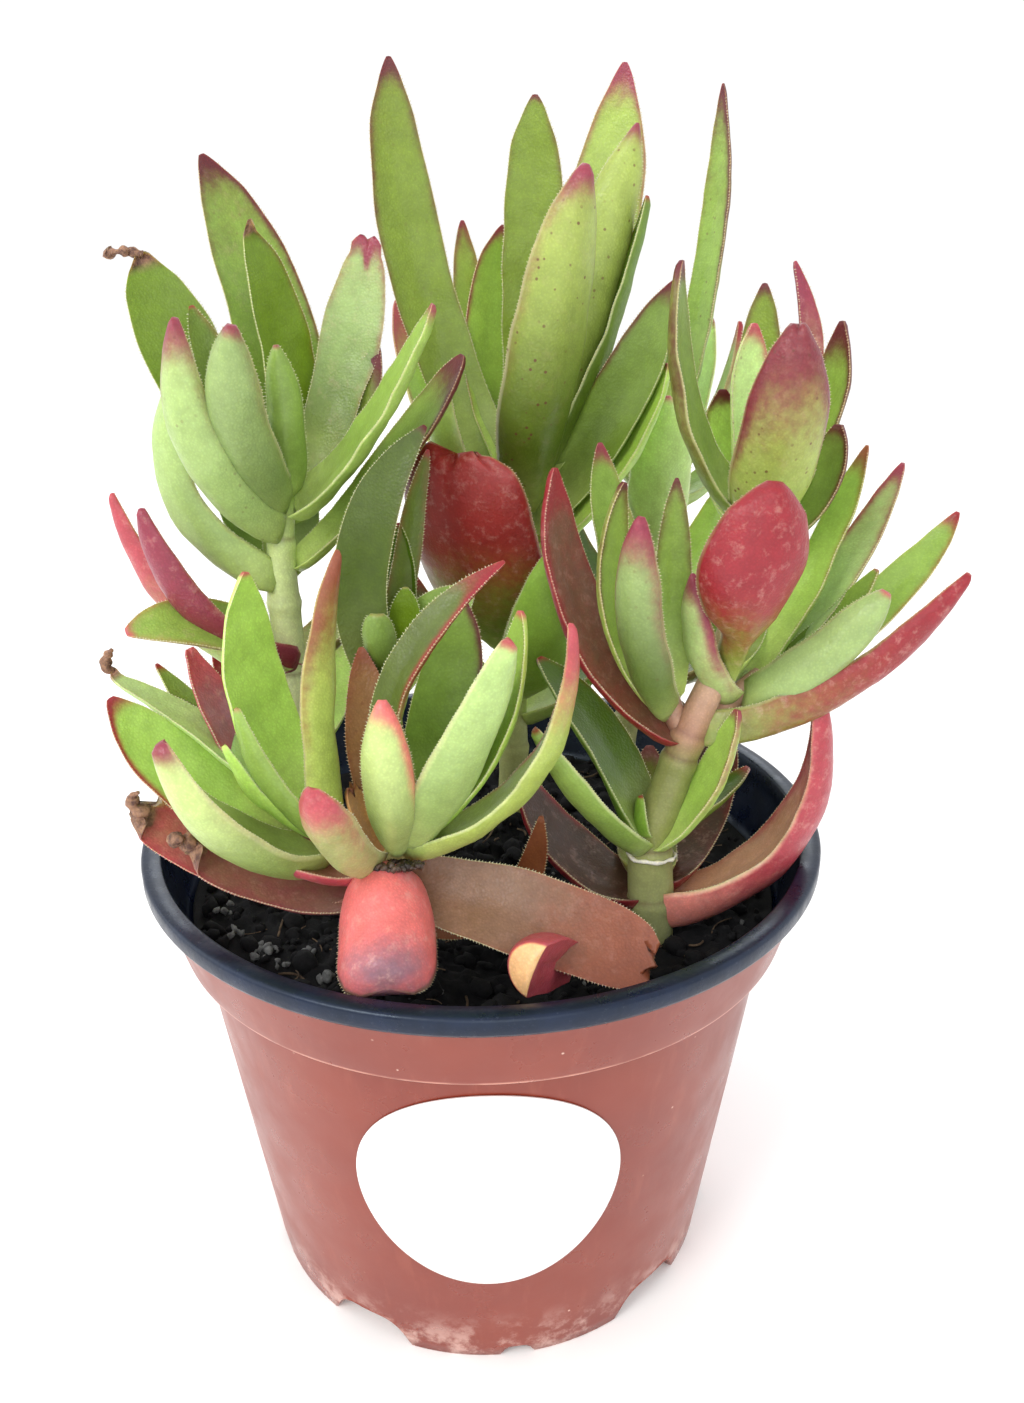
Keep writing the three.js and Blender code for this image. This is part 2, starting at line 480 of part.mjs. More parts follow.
function stemSolid(path) {
  const points = path.map(([x, y, z]) => new THREE.Vector3(x, y, z));
  const rings = path.map(([, , , radius], j) => {
    const before = points[Math.max(j - 1, 0)];
    const after = points[Math.min(j + 1, points.length - 1)];
    const tangent = after.clone().sub(before).normalize();
    const right = new THREE.Vector3(1, 0, 0);
    right.addScaledVector(tangent, -right.dot(tangent)).normalize();
    const back = new THREE.Vector3().crossVectors(tangent, right);
    const ring = [];
    for (let i = 0; i < STEM_SIDES; i += 1) {
      const angle = (2 * Math.PI * i) / STEM_SIDES;
      ring.push(points[j].clone()
        .addScaledVector(right, radius * Math.cos(angle))
        .addScaledVector(back, radius * Math.sin(angle)));
    }
    return ring;
  });
  const last = points[points.length - 1];
  const rise = last.clone().sub(points[points.length - 2]).setLength(STEM_CROWN);
  const crown = last.clone().add(rise);
  return toSolid(loft(rings, crown));
}

function plantSolid(name) {
  const pieces = STEMS[name].map(stemSolid).concat(LEAVES[name].map(leafSolid));
  return pieces.reduce((whole, piece) => whole.add(piece));
}

// Potting mix, with a gently heaped top and a plain hole for each stem

function soilSolid() {
  const inner = (z) => wallRadius(z) - WALL - SOIL_GAP;
  const bottomZ = FLOOR_Z + FLOOR_THICK + SOIL_GAP;
  const edgeR = COLLAR_FOOT_R - WALL - 2 * SOIL_GAP;
  const heapAt = (r, angle) => {
    const fade = 1 - (r / edgeR) ** 4;
    const broad = Math.sin(HEAP_LOBES * angle + r / HEAP_PITCH) * Math.cos((6 * r) / HEAP_PITCH);
    const fine = Math.sin((2 * HEAP_LOBES + 1) * angle - (9 * r) / HEAP_PITCH) / 2;
    return SOIL_Z + HEAP_HEIGHT * fade * (broad + fine);
  };
  const bands = [];
  for (let j = 1; j <= SOIL_RINGS; j += 1) {
    const r = (edgeR * j) / SOIL_RINGS;
    bands.push((angle) => [r, heapAt(r, angle)]);
  }
  bands.push(() => [inner(STEP_Z), STEP_Z + SOIL_GAP]);
  bands.push(() => [inner(bottomZ) - SOIL_FOOT_IN, bottomZ]);
  const points = [new THREE.Vector3(0, 0, heapAt(0, 0))];
  for (const band of bands) {
    for (let i = 0; i < SOIL_SIDES; i += 1) {
      const angle = (2 * Math.PI * i) / SOIL_SIDES;
      const [r, z] = band(angle);
      points.push(new THREE.Vector3(r * Math.cos(angle), r * Math.sin(angle), z));
    }
  }
  const bottom = points.push(new THREE.Vector3(0, 0, bottomZ)) - 1;
  const at = (j, i) => 1 + j * SOIL_SIDES + (i % SOIL_SIDES);
  const last = bands.length - 1;
  const faces = [];
  for (let i = 0; i < SOIL_SIDES; i += 1) {
    faces.push([0, at(0, i), at(0, i + 1)]);
    for (let j = 0; j < last; j += 1) {
      faces.push([at(j, i), at(j + 1, i), at(j + 1, i + 1)]);
      faces.push([at(j, i), at(j + 1, i + 1), at(j, i + 1)]);
    }
    faces.push([at(last, i), bottom, at(last, i + 1)]);
  }
  let soil = toSolid(indexed(points, faces));
  const holeHeight = STEM_DEPTH + HOLE_ABOVE;
  const holeMiddle = SOIL_Z - STEM_DEPTH - SOIL_GAP + holeHeight / 2;
  for (const [path] of Object.values(STEMS)) {
    const [x, y, , radius] = path[0];
    const holeR = radius + HOLE_GAP;
    const hole = new THREE.CylinderGeometry(holeR, holeR, holeHeight, HOLE_SIDES);
    hole.rotateX(Math.PI / 2).translate(x, y, holeMiddle);
    soil = soil.subtract(toSolid(hole));
  }
  return soil;
}

const plant = new THREE.Group();

function addPart(name, geometry, material) {
  const mesh = new THREE.Mesh(geometry, material);
  mesh.name = name;
  plant.add(mesh);
}

addPart('pot', potGeometry(), terracotta);
addPart('label', labelGeometry(), paper);
addPart('potting_mix', toGeometry(soilSolid()), soilDark);
for (const name of Object.keys(STEMS)) {
  addPart(name, toGeometry(plantSolid(name)), leafGreen);
}

export default plant;
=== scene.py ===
import math

import bmesh
import bpy
import numpy as np
from mathutils import Euler, Matrix, Vector, noise


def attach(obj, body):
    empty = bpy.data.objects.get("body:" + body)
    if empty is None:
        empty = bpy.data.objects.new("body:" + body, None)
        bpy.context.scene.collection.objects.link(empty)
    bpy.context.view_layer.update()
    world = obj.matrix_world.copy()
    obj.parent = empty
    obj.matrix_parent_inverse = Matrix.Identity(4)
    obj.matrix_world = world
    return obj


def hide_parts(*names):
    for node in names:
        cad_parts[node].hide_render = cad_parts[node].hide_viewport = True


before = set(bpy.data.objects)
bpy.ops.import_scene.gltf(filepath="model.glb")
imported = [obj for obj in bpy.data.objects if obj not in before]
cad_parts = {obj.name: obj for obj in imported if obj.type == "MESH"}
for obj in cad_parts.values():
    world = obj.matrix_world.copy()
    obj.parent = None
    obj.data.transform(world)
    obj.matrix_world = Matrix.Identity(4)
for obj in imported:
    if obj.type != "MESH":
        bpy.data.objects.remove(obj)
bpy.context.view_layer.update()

# Potted campfire crassula. Lengths in this script are millimetres, and metres in the meshes.
MM = 0.001
UP = np.array([0.0, 0.0, 1.0])

# Pot, as in the CAD
POT_HEIGHT = 81.7
RIM_OUTER_R = 57.0
RIM_INNER_R = 53.8
RIM_DEPTH = 3.0
RIM_CORNER = 0.6
COLLAR_R = 55.4
COLLAR_FOOT_R = 52.4
STEP_Z = 67.2
STEP_RISE = 0.8
STEP_R = 49.5
BASE_R = 41.2
WALL = 1.5
LEDGE_THICK = 1.0
FLOOR_Z = 5.0
FLOOR_THICK = 1.4
CENTRE_FOOT_R = 18.0
CENTRE_FOOT_TOP_R = 21.0
FOOT_RING_WIDTH = 3.2
FOOT_RING_TAPER = 0.6
POT_COLUMNS = 360
NOTCH_COUNT = 5
NOTCHES = [(-120, 21, 5.6), (-84, 8, 2.2)]  # azimuth, span in degrees, height
NOTCH_FLARE = 0.4
NOTCH_SHOULDER = 0.85
NOTCH_CROWN = 0.3
NOTCH_UNDERCUT = 1.0

# Label
LABEL_AZ = -90
LABEL_Z = 41.4
LABEL_HALF_WIDTH = 20.5
LABEL_HALF_HEIGHT = 21.2
LABEL_LIFTS = (0.1, 0.45)
LABEL_EDGE = 0.1
LABEL_RINGS = 14
LABEL_SIDES = 120

# Potting mix
SOIL_Z = 69.0
SOIL_GAP = 0.35
SOIL_FOOT_IN = 2.6
EDGE_BAND = 2.0
HEAP_HEIGHT = 1.3
HEAP_LOBES = 3
HEAP_PITCH = 30.0
SOIL_RINGS = 110
SOIL_COLUMNS = 300
CRUMBS = [(0, 900, 0.5, 2.1), (1, 60, 0.3, 0.9)]  # material, count, smallest and largest radius
GRIT = [(-43.4, -11.8, 1.3), (-39.7, -19.7, 1.1), (-34.4, -25.3, 1.5), (-36.5, -21.8, 1.0),
        (-25.3, -29.6, 1.4), (-27.5, -24, 0.9), (-31.5, -27.5, 1.0)]  # pale lumps: x, y and size
FIBRE_COUNT = 150

# Leaves and stems
FACE_LIFT = 0.35
CUP = 0.16
TIP_ROUNDING = 0.72
BASE_SHARE = 0.45
BASE_REACH = 0.06
CLASP = 0.45
CLASP_REACH = 0.3
EDGE_BODY = 0.55
TIP_THINNING = 0.35
STEM_SIDES = 28
STEM_STEP = 0.8

# Camera, floor and lights; places in metres but for the camera's, powers in watts
CAMERA_PLACE = (0.0, -169.0, 171.0)
CAMERA_PITCH = 22.3
CAMERA_YAW = 1.74
CAMERA_ROLL = -0.27
CAMERA_LENS = 28
CAMERA_SENSOR = 36
FLOOR_HALF = 6.0
WORLD_COLOUR = (1.0, 1.0, 1.0, 1.0)
WORLD_STRENGTH = 1.03
AIM = (0.0, 0.0, 0.11)
LIGHTS = [
    ("key", (-0.6, -0.65, 0.85), AIM, 0.45, 5.2, (1.0, 0.98, 0.93)),
    ("front", (0.1, -0.95, 0.5), AIM, 0.8, 2.6, (1.0, 1.0, 0.98)),
    ("left", (-0.95, 0.1, 0.5), AIM, 0.8, 1.8, (1.0, 1.0, 1.0)),
    ("right", (0.95, 0.1, 0.5), AIM, 0.8, 0.5, (0.9, 0.95, 1.0)),
    ("back", (0.0, 0.95, 0.8), AIM, 0.8, 3.0, (1.0, 1.0, 1.0)),
]

# Stems: each path runs up from the soil, as x, y, z and radius.
STEMS = {
    "back_left_stem": [
        [[-33.4, 5, 53, 2.8], [-33.4, 5, 72, 2.9], [-33.6, 5, 85, 2.9], [-32, 5, 104, 2.8],
            [-32.3, 5, 122, 2.5], [-30.6, 5, 137, 1.5]],
    ],
    "front_stem": [
        [[-14.8, -29, 53, 2.8], [-14.8, -29, 72, 2.8], [-14.4, -30.5, 88, 2.4]],
        [[-14.4, -30.5, 87, 2.0], [-12.2, -31, 92, 1.9], [-11.6, -31, 99, 1.2]],
        [[-15, -29, 83, 2.0], [-20, -28, 87, 1.8], [-23, -28, 95, 1.2]],
    ],
    "middle_stem": [
        [[-13, -6, 53, 2.2], [-13, -6, 72, 2.2], [-14, -7, 90, 2.0], [-14.6, -8, 113, 1.2]],
    ],
    "back_centre_stem": [
        [[6, 20, 53, 2.9], [6, 20, 72, 2.9], [6, 21, 95, 2.5], [7.4, 22, 128, 2.2], [8, 23, 140, 1.4]],
    ],
    "back_right_stem": [
        [[28.5, 32, 53, 2.5], [28.5, 32, 72, 2.5], [31.5, 35.5, 100, 2.2], [35, 40, 138, 1.3]],
    ],
    "right_stem": [
        [[26.8, -19.5, 53, 3.7], [26.8, -19.5, 72, 3.7], [26.3, -19, 84, 3.4], [29, -18.5, 95, 2.9],
            [31.5, -18.5, 103.5, 2.6], [35, -17, 112, 2.2]],
        [[34.5, -17, 110, 2.0], [40, -8, 121, 1.9], [43.5, -1, 131, 1.8], [44, 1, 136, 1.2]],
        [[33, -18, 104, 2.0], [39, -15, 108, 1.8], [43, -13, 111, 1.2]],
        [[31.5, -18.5, 102, 1.9], [29, -17, 107, 1.7], [28, -17, 111, 1.1]],
        [[26.3, -19, 82, 2.0], [25.5, -20, 87, 1.6], [25.4, -20, 89, 1.0]],
    ],
}

# Leaves of each stem, a line each: name, outline, flesh, blush, root, tip, widest width, thickness,
# outward bow, sideways bow, turn about the blade in degrees, and then how it is painted, in the
# order of PLAIN, whose values hold for what a line leaves out.
LEAVES = {
    "back_left_stem": """
a1 blade lime wine -31 7 134 -42.6 23 186 15.2 2.4 1 5.5 0 .07 .3 .95 1.3 .25 .45 .25 .78 0 .3
a2 blade olive wine -29.5 6 135 -34.7 12 176 11 2.2 1 4 10 .02 .1 .5 1.05 0 0 0 0 0 0 .05
a3 oar olive wine -32 6 131 -51.6 14 171.5 12.5 2.4 1.5 0 -45 .03 .1 .2 1 0 0 0 0 0 0 .05
a4 blade pale rose -32 4 130 -41.5 -7 163.5 8.5 3 6 0 20 .12 .5 .3 1 0 0 .25 .8 .2 .4
a5 fat pale rose -30.5 4 135 -33 -11 162.8 9 4 3 2 0 .05 .1 .3 .74 0 0 0 0 .4 .1
a6 blade bright rose -30 4 136 -28.8 -3 159.5 6 2.2 1 -.5 0 .03 0 .1 .7 0 0 0 0 .3
a7 blade olive crimson -31 6 134 -43.5 10 164.3 7 2 1 0 -50 .02 .1 .3 .8
a8 blade bright rose -29 4 133 -5.8 -8 165 11 2.4 2 0 35 .05 .2 .15 1.05 0 0 0 0 .2 .1
a9 oar lime wine -30 5 124 -1.8 4 157.2 9.5 2.4 1.5 0 30 .14 .3 .95 1.2 0 .2 .2 .6
a10 oar pale rose -29 6 134 -16.4 16 174.2 9.8 2.2 2 0 40 .06 .3 .5 1.05 .3 .34 .34 .8 1 .2
a11 blade lime wine -29 6 133 -15.4 12 158 7 2.4 2 0 40 .18 .5 .5 1 0 .3 .9 .45
a12 fat pale pink -32.5 4 122 -44 6 156 11 4 9 0 40 .02 0 .1 1.05 0 0 0 0 .3
a13 blade bright crimson -32 6 122 -42 17 144 9 2.4 4 0 0 .03 .1 .1
a14 blade lime crimson -30 7 132 -26 25 155 9 2.4 5 0 0 .07 .3 .5
a15 blade lime crimson -31 6 123 -33 27 152 10 2.8 5 0 0 .07 .3 .3
m1 blade mauve rose -31 4 108 -50.3 -5 136.5 10 3 5 0 20 .3 .6 .6 1.6 .6 .85 .85
m2 blade bright pink -32 5 104 -58.6 8 136.2 8 2.6 6 0 45 .3 .9 .5 1.1 .7 .8 .85 .4
m3 blade bright pink -32 4 107.5 -54.2 -10 118 10.5 2.6 -4 0 -35 .04 .4 .3 1 .4 .1 .3
m4 blade olive crimson -31 6 108 -19 24 128 9 3 5 0 0 .2 .5 .5 1 .4 .3 .4
m5 blade mauve crimson -33 5 92 -47 22 112 10 2.8 5 0 0 .3 .7 .7 1 .5 .6 .8
m6 blade bright mauve -33 6 90 -26 28 106 9 2.8 5 0 0 .1 .7 .3 1.6 .5 .3 .3 .85
""",
    "front_stem": """
c1 blade folded crimson -12.5 -31 94 3.8 -26 133 5.5 2.4 -8.5 0 30 .12 .1 .9 .7
c2 blade lime wine -11.5 -30 94 -2.5 -21 126.5 9.5 2.2 2 0 50 .03 .2 .9 1.05
c3 fat cream coral -12 -32 93 -12.5 -41.5 119.7 7.2 3 3 0 0 .1 .1 .8 .93 0 0 0 0 .5
c4 fat pale pink -11.5 -32 94 3.2 -41 127.3 12 4.5 1 0 0 .03 0 .2 1.1 0 0 0 0 .4
c5 blade lime pink -11 -31 94 5.2 -32 128 8.5 2.4 4 0 30 .03 0 .2 1.45
c6 blade yellow pink -11.5 -31.5 92 11.3 -36 127.6 8 2.8 7.5 0 0 .24 .1 .9 1.05
l1 blade bright pink -23.4 -27 92 -32.3 -21 130.6 11.4 2.6 5.4 0 0 .02 0 .1 1.6
l2 blade yellow rust -21.5 -28 91 -18.9 -26 135 7 2.4 -3.2 0 -60 .1 .6 .15 1.25 0 .1 .9 .72
l3 blade bright pink -23 -28.5 93 -32.8 -32 115 6 2 2 0 20 .02 0 0 .85
l4 blade bright pink -23 -28 93 -35.7 -30 108.6 5 1.8 2 0 20 .02 0 0 1.5
l5 fat cream rose -22.5 -29 90 -40.7 -40 113.8 11.5 5 4 0 0 .07 0 .2 .97 0 0 0 0 .7
l6 blade bright crimson -23 -27 90 -53.5 -22 112.6 12 3 3.5 0 -30 .06 1 .2 1.2
l7 blade pale rust -24 -26 91 -57 -13 113 6 2 -3 0 0 .05 .1 .1 1.15 0 0 0 0 0 0 .06
l8 blade lime crimson -23 -26 92 -50.3 -9 113 6 2 2 0 0 .04 .1 .1
l9 blade plum pink -22 -26 90 -43.5 -14 117.3 9 2.4 3 0 0 .16 .5 .5 1.5 .6 .4 .6
l10 oar cream pink -15 -33 91.5 -21.3 -46 109.7 7.6 4.5 1.5 0 0 .2 .3 .3 .68 .3 .2 .25
k1 barrel plum coral -14.4 -31 88 -13 -50.5 80.6 13.8 8 -2 0 0 .1 .5 .5 .97 .9 1 1 0 0 0 0 1 .55
k2 broken mauve rust -13 -30.5 86 24.6 -42 78 12.5 2.8 -1.5 0 42 .4 .5 .4 1.3 .25 .2 .5 .6 0 .3
k3 blade mauve pink -16 -30 87.4 -38 -34 97 9 2.4 1 0 0 .2 .8 .8 1.4 .4 .3 .8
k4 broken mauve rose -16 -29 82 -43.5 -29 92 10 2.4 1.5 0 -20 .1 .5 .5 1.45 .4 .4 .4 0 0 0 .1
k5 broken mauve pink -16 -28 83 -52 -24 95.5 9 2.2 4 0 -20 .1 .6 .6 3 .6 .6 .6 0 0 0 .08
k6 cut peach pink 12.5 -38 77 6.3 -47.5 82 8.4 6.5 0 0 -100 0 .2 .2 1.25 .3 .95 1 0 0 0 0 0
k7 broken straw rust -15 -29.5 88 -18.8 -27 101 4.5 2 0 0 0 .1 .1 .1 2 0 .1 .1 0 0 0 0 0
k8 blade straw rust -14 -29 87 -17.9 -14 117 7 2.2 2 0 0 .1 .3 .3 1 0 .3 .3 0 0 .3 0 .3
k9 blade rust wine -13 -28 78 8.9 -22 92.4 5.2 2 10 0 40 0 .2 .2 1.1 0 .1 .2 0 0 .3 0 .4
""",
    "middle_stem": """
b1 blade olive wine -15 -8 108 -7.2 -5 148 8.5 2.6 -7 0 60 .03 .1 .3 .45
b2 blade deep crimson -14.5 -7 109 -12.4 -2 133 6 2 2 0 0 .04 .1 .1 1.3
b3 blade olive crimson -14.5 -6.5 108 -7.5 2 143.5 4.5 2 -1 0 60 .04 .3 .3 .68 0 .1 .2
b4 blade olive pink -14.5 -8.5 110 -11.3 -9 124.6 5.5 1.8 1 0 90 .02 0 0
b5 stub bright pink -14.8 -9 110 -15.2 -14 122.1 5.5 2 1 0 0 .02 0 0 .65 0 0 0 0 1
b6 blade bright pink -14 -8.5 108 -.7 -8 123.5 9 2.4 -2 0 60 .03 .1 .1 .8
b7 blade deep crimson -15 -7 106 -20 5 124 8 2.4 3 0 0 .1 .1 .1
b8 blade mauve crimson -14 -7 92 -4 -2 112 8 2.4 4 0 0 .2 .4 .4 1 .3 .5 .6
""",
    "back_centre_stem": """
d1 strap moss wine 6.5 23 131 -13.3 34 201 10.5 2.8 6 0 -50 .04 .6 .5 .95 0 .3 .35 .85 0 .15
d2 strap moss wine 9.3 24 135 10.4 34 195.5 10.8 2.6 2 0 0 .02 .35 .5 .95 0 0 0 0 0 .15
d3 blade yellow rose 8.5 24 134 25.8 40 201 14.4 2.6 4 0 30 .08 .6 .7 1.1
d4 blade yellow rose 9 23 134 26.6 27 190.6 11 3 0 0 -100 .05 .2 .3 1 0 0 0 0 .6 .8
d5 fat yellow rose 8 22 130 16.4 6 183.4 13.5 4.5 3 3 0 .07 .35 .45 1 .15 0 .2 .85 1 1
d6 blade deep crimson 9 24 133 27.9 24 180 8 2.6 2 0 0 .02 .1 .2 .9 0 0 0 0 .8
d7 blade lime rose 7.5 25 134 5.4 37 176 12 2.4 3 -3 20 .05 .8 .2 1.7 0 .1 .1
d8 blade yellow rose 7 25 132 -2 45 177 8 2.4 5 0 0 .03 .5 .5 1 0 .3 .1 .75
d9 blade lime wine 9 23 126 31.8 14 167.4 12.5 3 2 0 60 .08 .8 .1 .95 0 0 0 0 .3
d10 blade lime crimson 8.5 22 122 30.7 13 155 10 3 3 0 40 .03 .4 .1 1.9
d11 blade lime crimson 6.5 22 124 -5 16 153 10 3 5 0 0 .06 .2 .2 .9
d12 blade lime pink 7 25 126 -14.8 50 163.4 9 2.6 6 0 0 .2 .5 .5 1.9
d13 blade lime crimson 8 25 126 18 52 165 11 3 6 0 0 .08 .5 .4
r1 broken olive brick 6 20.5 104 -3.2 3 144 24 3.4 4 0 0 .3 .8 .8 1.1 .5 .95 .95 .42 .3
r2 blade olive crimson 6.5 23 108 14 44 140 16 3.4 5 0 0 .4 .8 .8 1 .8 .9 1 .3
n1 blade deep crimson 6.5 20 96 11.3 -1 128 13 3 5 0 0 .02 .1 .1 1.7
n2 blade deep crimson 5.5 22 92 -14 36 116 11 3 5 0 0 .15 .4 .4 1 .2 .1 .3
n3 blade deep crimson 7 21 90 26 25 116 10 3 5 0 0 .1 .3 .3 1.3 .2
""",
    "back_right_stem": """
e1 blade bright wine 35 40 135 43.7 46 198.6 7 2.2 4 0 0 .06 .3 .8 1.1 0 .5 .35 .75 0 .6
e2 blade pale crimson 34.5 40 130 44.8 49 160 7 2.2 3 0 0 .05 .2 .3 1.8
e3 blade pale crimson 35 39 131 47.5 38 160 5.5 2.2 3 0 0 .14 .5 .3
e4 blade pale pink 34 39 126 49 44 150 8 2.4 7 0 0 .04 .1 .1
e5 fat pale pink 33.5 37 118 32.3 22 149 11 3.4 3 0 0 .03 .1 .2 1.55 0 0 0 0 .3
e6 blade lime crimson 34 40 128 24 56 158 9 2.6 5 0 0 .1 .4 .4
e7 blade lime crimson 34.5 41 132 40 60 158 8 2.4 4 0 0 .12 .5 .5
e8 blade lime crimson 32.5 37 108 50 52 128 11 3 6 0 0 .06 .3 .3 2 .2
e9 blade deep crimson 32 36 106 16 50 128 10 3 5 0 0 .08 .3 .3 1 .2
e10 blade deep mauve 31.5 35 92 52 28 112 10 3 5 0 0 .15 .4 .4 1 .4 .2 .4
""",
    "right_stem": """
j1 blade mauve berry 27 -19.5 73.8 49.8 -18 109.7 12.5 5 10.2 0 -16 .3 .4 1.3 3 .7 .2 1 .25
j2 blade mauve crimson 26.5 -19 74.5 6 -9 93 13 2.8 4 0 0 .1 .5 .8 .4 .5 .15 .8
j3 blade mauve crimson 27 -18 76 43 6 96 11 2.8 5 0 0 .1 .5 .5 .33 .5 .2 .6
j4 blade olive mauve 26.5 -18 78 30 8 90 10 2.8 5 0 0 .1 .5 .5 1 .5 .3 .5
i1 blade deep crimson 26 -19 85 9 -6 112 10.5 2.8 -3 0 0 .03 .1 .3
i2 fat bright crimson 25.6 -20.5 85 7.6 -28 109.4 8 3 1 0 0 .02 .1 .1 .92 0 0 0 0 .3 .15
i3 blade bright rose 26.4 -20 85 37 -24 110 7 2.4 2 0 30 .06 .1 .6 1.25
i4 blade deep crimson 26.6 -18.5 86 43.5 -10 94 4.8 2.4 1 0 0 .1 .2 .2
i5 blade deep crimson 25.4 -20 87 24.6 -20 94 4.5 1.8 0 0 0 .04 .1 .1 1.4
h1 blade bright rose 28.4 -16 107 19.2 4 144 8.5 2.4 3 0 0 .07 .2 .3 .85 0 0 0 0 0 .3
h2 blade lime wine 28 -17 107 20.9 -16 141.6 7 2.6 4.4 0 -40 .04 .6 .5 1.4 0 .25 .1 .8
h3 fat pale rose 28.2 -18 107 21.6 -27 139.3 7.2 3 3 .8 0 .14 .6 .5 .75 0 0 .2 .75 .8 .3
h4 blade lime wine 28.6 -16.5 108 29.1 -10 141 5.5 2.2 1 0 0 .05 .5 .5 1.2 0 .2 .1 .85
h5 blade mauve crimson 30.5 -18.5 102.5 11.2 -12 143 10.5 3 6 0 -20 .12 1.2 .4 1 .4 .3 1
g1 blade bright rust 40 -14 108 61 2 143.5 6 2.4 2 0 0 .09 .2 .5 1.25
g2 blade pale rose 40 -14 108 68.6 6 140 7.5 2.4 3 0 0 .08 .8 .5 1.1 0 .4 .2 .7
g3 blade bright crimson 40.5 -14 108 76.6 1 133 8 2.6 4 0 20 .06 .2 .5
g4 fat pale pink 40 -15 107.5 58.5 -20 126.5 8 4.5 2 0 -70 .03 .1 .1 .8
g5 blade lime crimson 40.5 -14.5 109 61.6 -7 126.1 6 2 2 0 0 .03 .1 .3
g6 blade yellow crimson 33 -18.5 103.5 70.9 -18 128.4 8.5 3 5 0 -50 .3 .5 .9 .68 .7 .15 .8 .22
g7 blade pale rose 38.5 -15.5 108 30.6 -20 129.5 6.5 2.4 2.6 0 0 .14 .1 .9 1.1 0 0 .25
g8 spoon olive crimson 36.5 -15 112 39.2 -26 143.6 16.2 5 3 1.3 0 .3 .8 .8 1 .6 .97 .97 .34
g9 blade lime crimson 36.5 -15 112 46 6 132 9 2.8 4 0 0 .06 .3 .3
f1 fat yellow dusk 43.5 -1 131 43.5 -15 162.7 12.5 4.2 4 0 0 .15 .9 .85 1.05 .2 .5 .88 .62 0 1
f2 blade pale pink 43.5 0 133 42 3 161.6 8 2.4 1 0 0 .08 .2 .6 1.7 0 .25 0 .8 0 .5
f3 blade moss wine 44 1 133 45.3 12 167 8 2.4 3 0 0 .05 .5 .5
f4 blade mauve rose 45 1 132 50.2 14 170.2 4.6 2.2 4 4.6 40 .2 .5 .5 2.2 .6 .35 .35
f5 blade lime wine 44.5 0 131 56.1 6 161.7 8 2.4 4 0 0 .14 .5 .9 1.3 0 .3 .3 .7
f6 blade lime wine 44.5 0 129 54.6 -2 147.4 9 2.6 3 0 40 .08 .3 .9 .9 0 .4 .3 .8
f7 blade lime wine 43 0 132 29 -7 170.5 8 2.6 5 0 -50 .06 .3 .2 .95 0 .1 .5 .3
f8 blade bright wine 43 1 130 40 13 151 9 2.6 3 0 0 .1 .5 .5 1.5 0 .3 .3 .8
f9 blade lime crimson 44 2 129 58 18 146 9 2.6 5 0 0 .08 .4 .6
""",
}

# Outline of a leaf: share of its widest width at shares of its length, root to tip.
OUTLINES = {
    "blade": [[0, 0.78], [0.2, 0.95], [0.45, 1], [0.7, 0.88], [0.87, 0.58], [0.96, 0.25]],
    "strap": [[0, 0.8], [0.2, 0.88], [0.45, 1], [0.7, 0.95], [0.87, 0.72], [0.96, 0.33]],
    "oar": [[0, 0.5], [0.2, 0.68], [0.45, 0.93], [0.7, 1], [0.87, 0.74], [0.96, 0.36]],
    "fat": [[0, 0.5], [0.15, 0.78], [0.4, 1], [0.68, 0.93], [0.87, 0.62], [0.97, 0.25]],
    "stub": [[0, 0.4], [0.15, 0.78], [0.4, 1], [0.7, 0.98], [0.89, 0.74], [0.98, 0.36]],
    "barrel": [[0, 0.66], [0.12, 0.86], [0.4, 1], [0.7, 0.99], [0.9, 0.82], [0.98, 0.5]],
    "spoon": [[0, 0.24], [0.28, 0.26], [0.42, 0.68], [0.66, 1], [0.86, 0.76], [0.95, 0.38]],
    "cut": [[0, 0.6], [0.2, 0.8], [0.5, 0.96], [0.8, 1], [0.95, 0.94], [0.99, 0.8]],
    "broken": [[0, 0.45], [0.2, 0.82], [0.45, 1], [0.76, 0.96], [0.93, 0.76], [0.99, 0.5]],
}

# Paint

COLOURS = {
    "lime": ((122, 150, 60), (150, 178, 84)),
    "bright": ((144, 176, 78), (160, 192, 94)),
    "yellow": ((156, 178, 82), (164, 182, 90)),
    "olive": ((106, 134, 24), (130, 148, 60)),
    "moss": ((124, 148, 40), (146, 170, 70)),
    "folded": ((106, 124, 52), (208, 230, 146)),
    "straw": ((152, 112, 70), (152, 112, 70)),
    "pale": ((156, 182, 112), (170, 196, 122)),
    "cream": ((196, 214, 128), (196, 216, 136)),
    "deep": ((76, 106, 14), (110, 142, 52)),
    "mauve": ((116, 86, 66), (140, 86, 78)),
    "plum": ((132, 96, 110), (132, 96, 110)),
    "rust": ((142, 84, 50), (138, 76, 48)),
    "peach": ((246, 196, 140), (206, 70, 84)),
}
BLUSHES = {
    "crimson": (148, 38, 48),
    "rose": (144, 54, 74),
    "pink": (184, 78, 88),
    "coral": (228, 116, 114),
    "berry": (172, 66, 76),
    "brick": (144, 42, 40),
    "wine": (98, 30, 38),
    "mauve": (122, 62, 64),
    "dusk": (124, 44, 54),
    "rust": (140, 76, 52),
}
MARGIN_GREEN = (226, 232, 176)
MARGIN_RED = (226, 150, 142)
# Pale new growth near the stem, partly the leaves' own colour and partly painted light that lifts leaf bases
# shaded by the stem and the leaves around them
NEW_GROWTH_AND_PAINTED_LIGHT = (186, 204, 120)
# Deep green near the stem, partly the leaves' own colour and partly painted shade where the stem and the
# leaves around it shade the leaf bases
DEEP_BASE_AND_SHADE = (90, 112, 30)
NOT_GREEN = ("mauve", "plum", "rust", "peach", "straw")
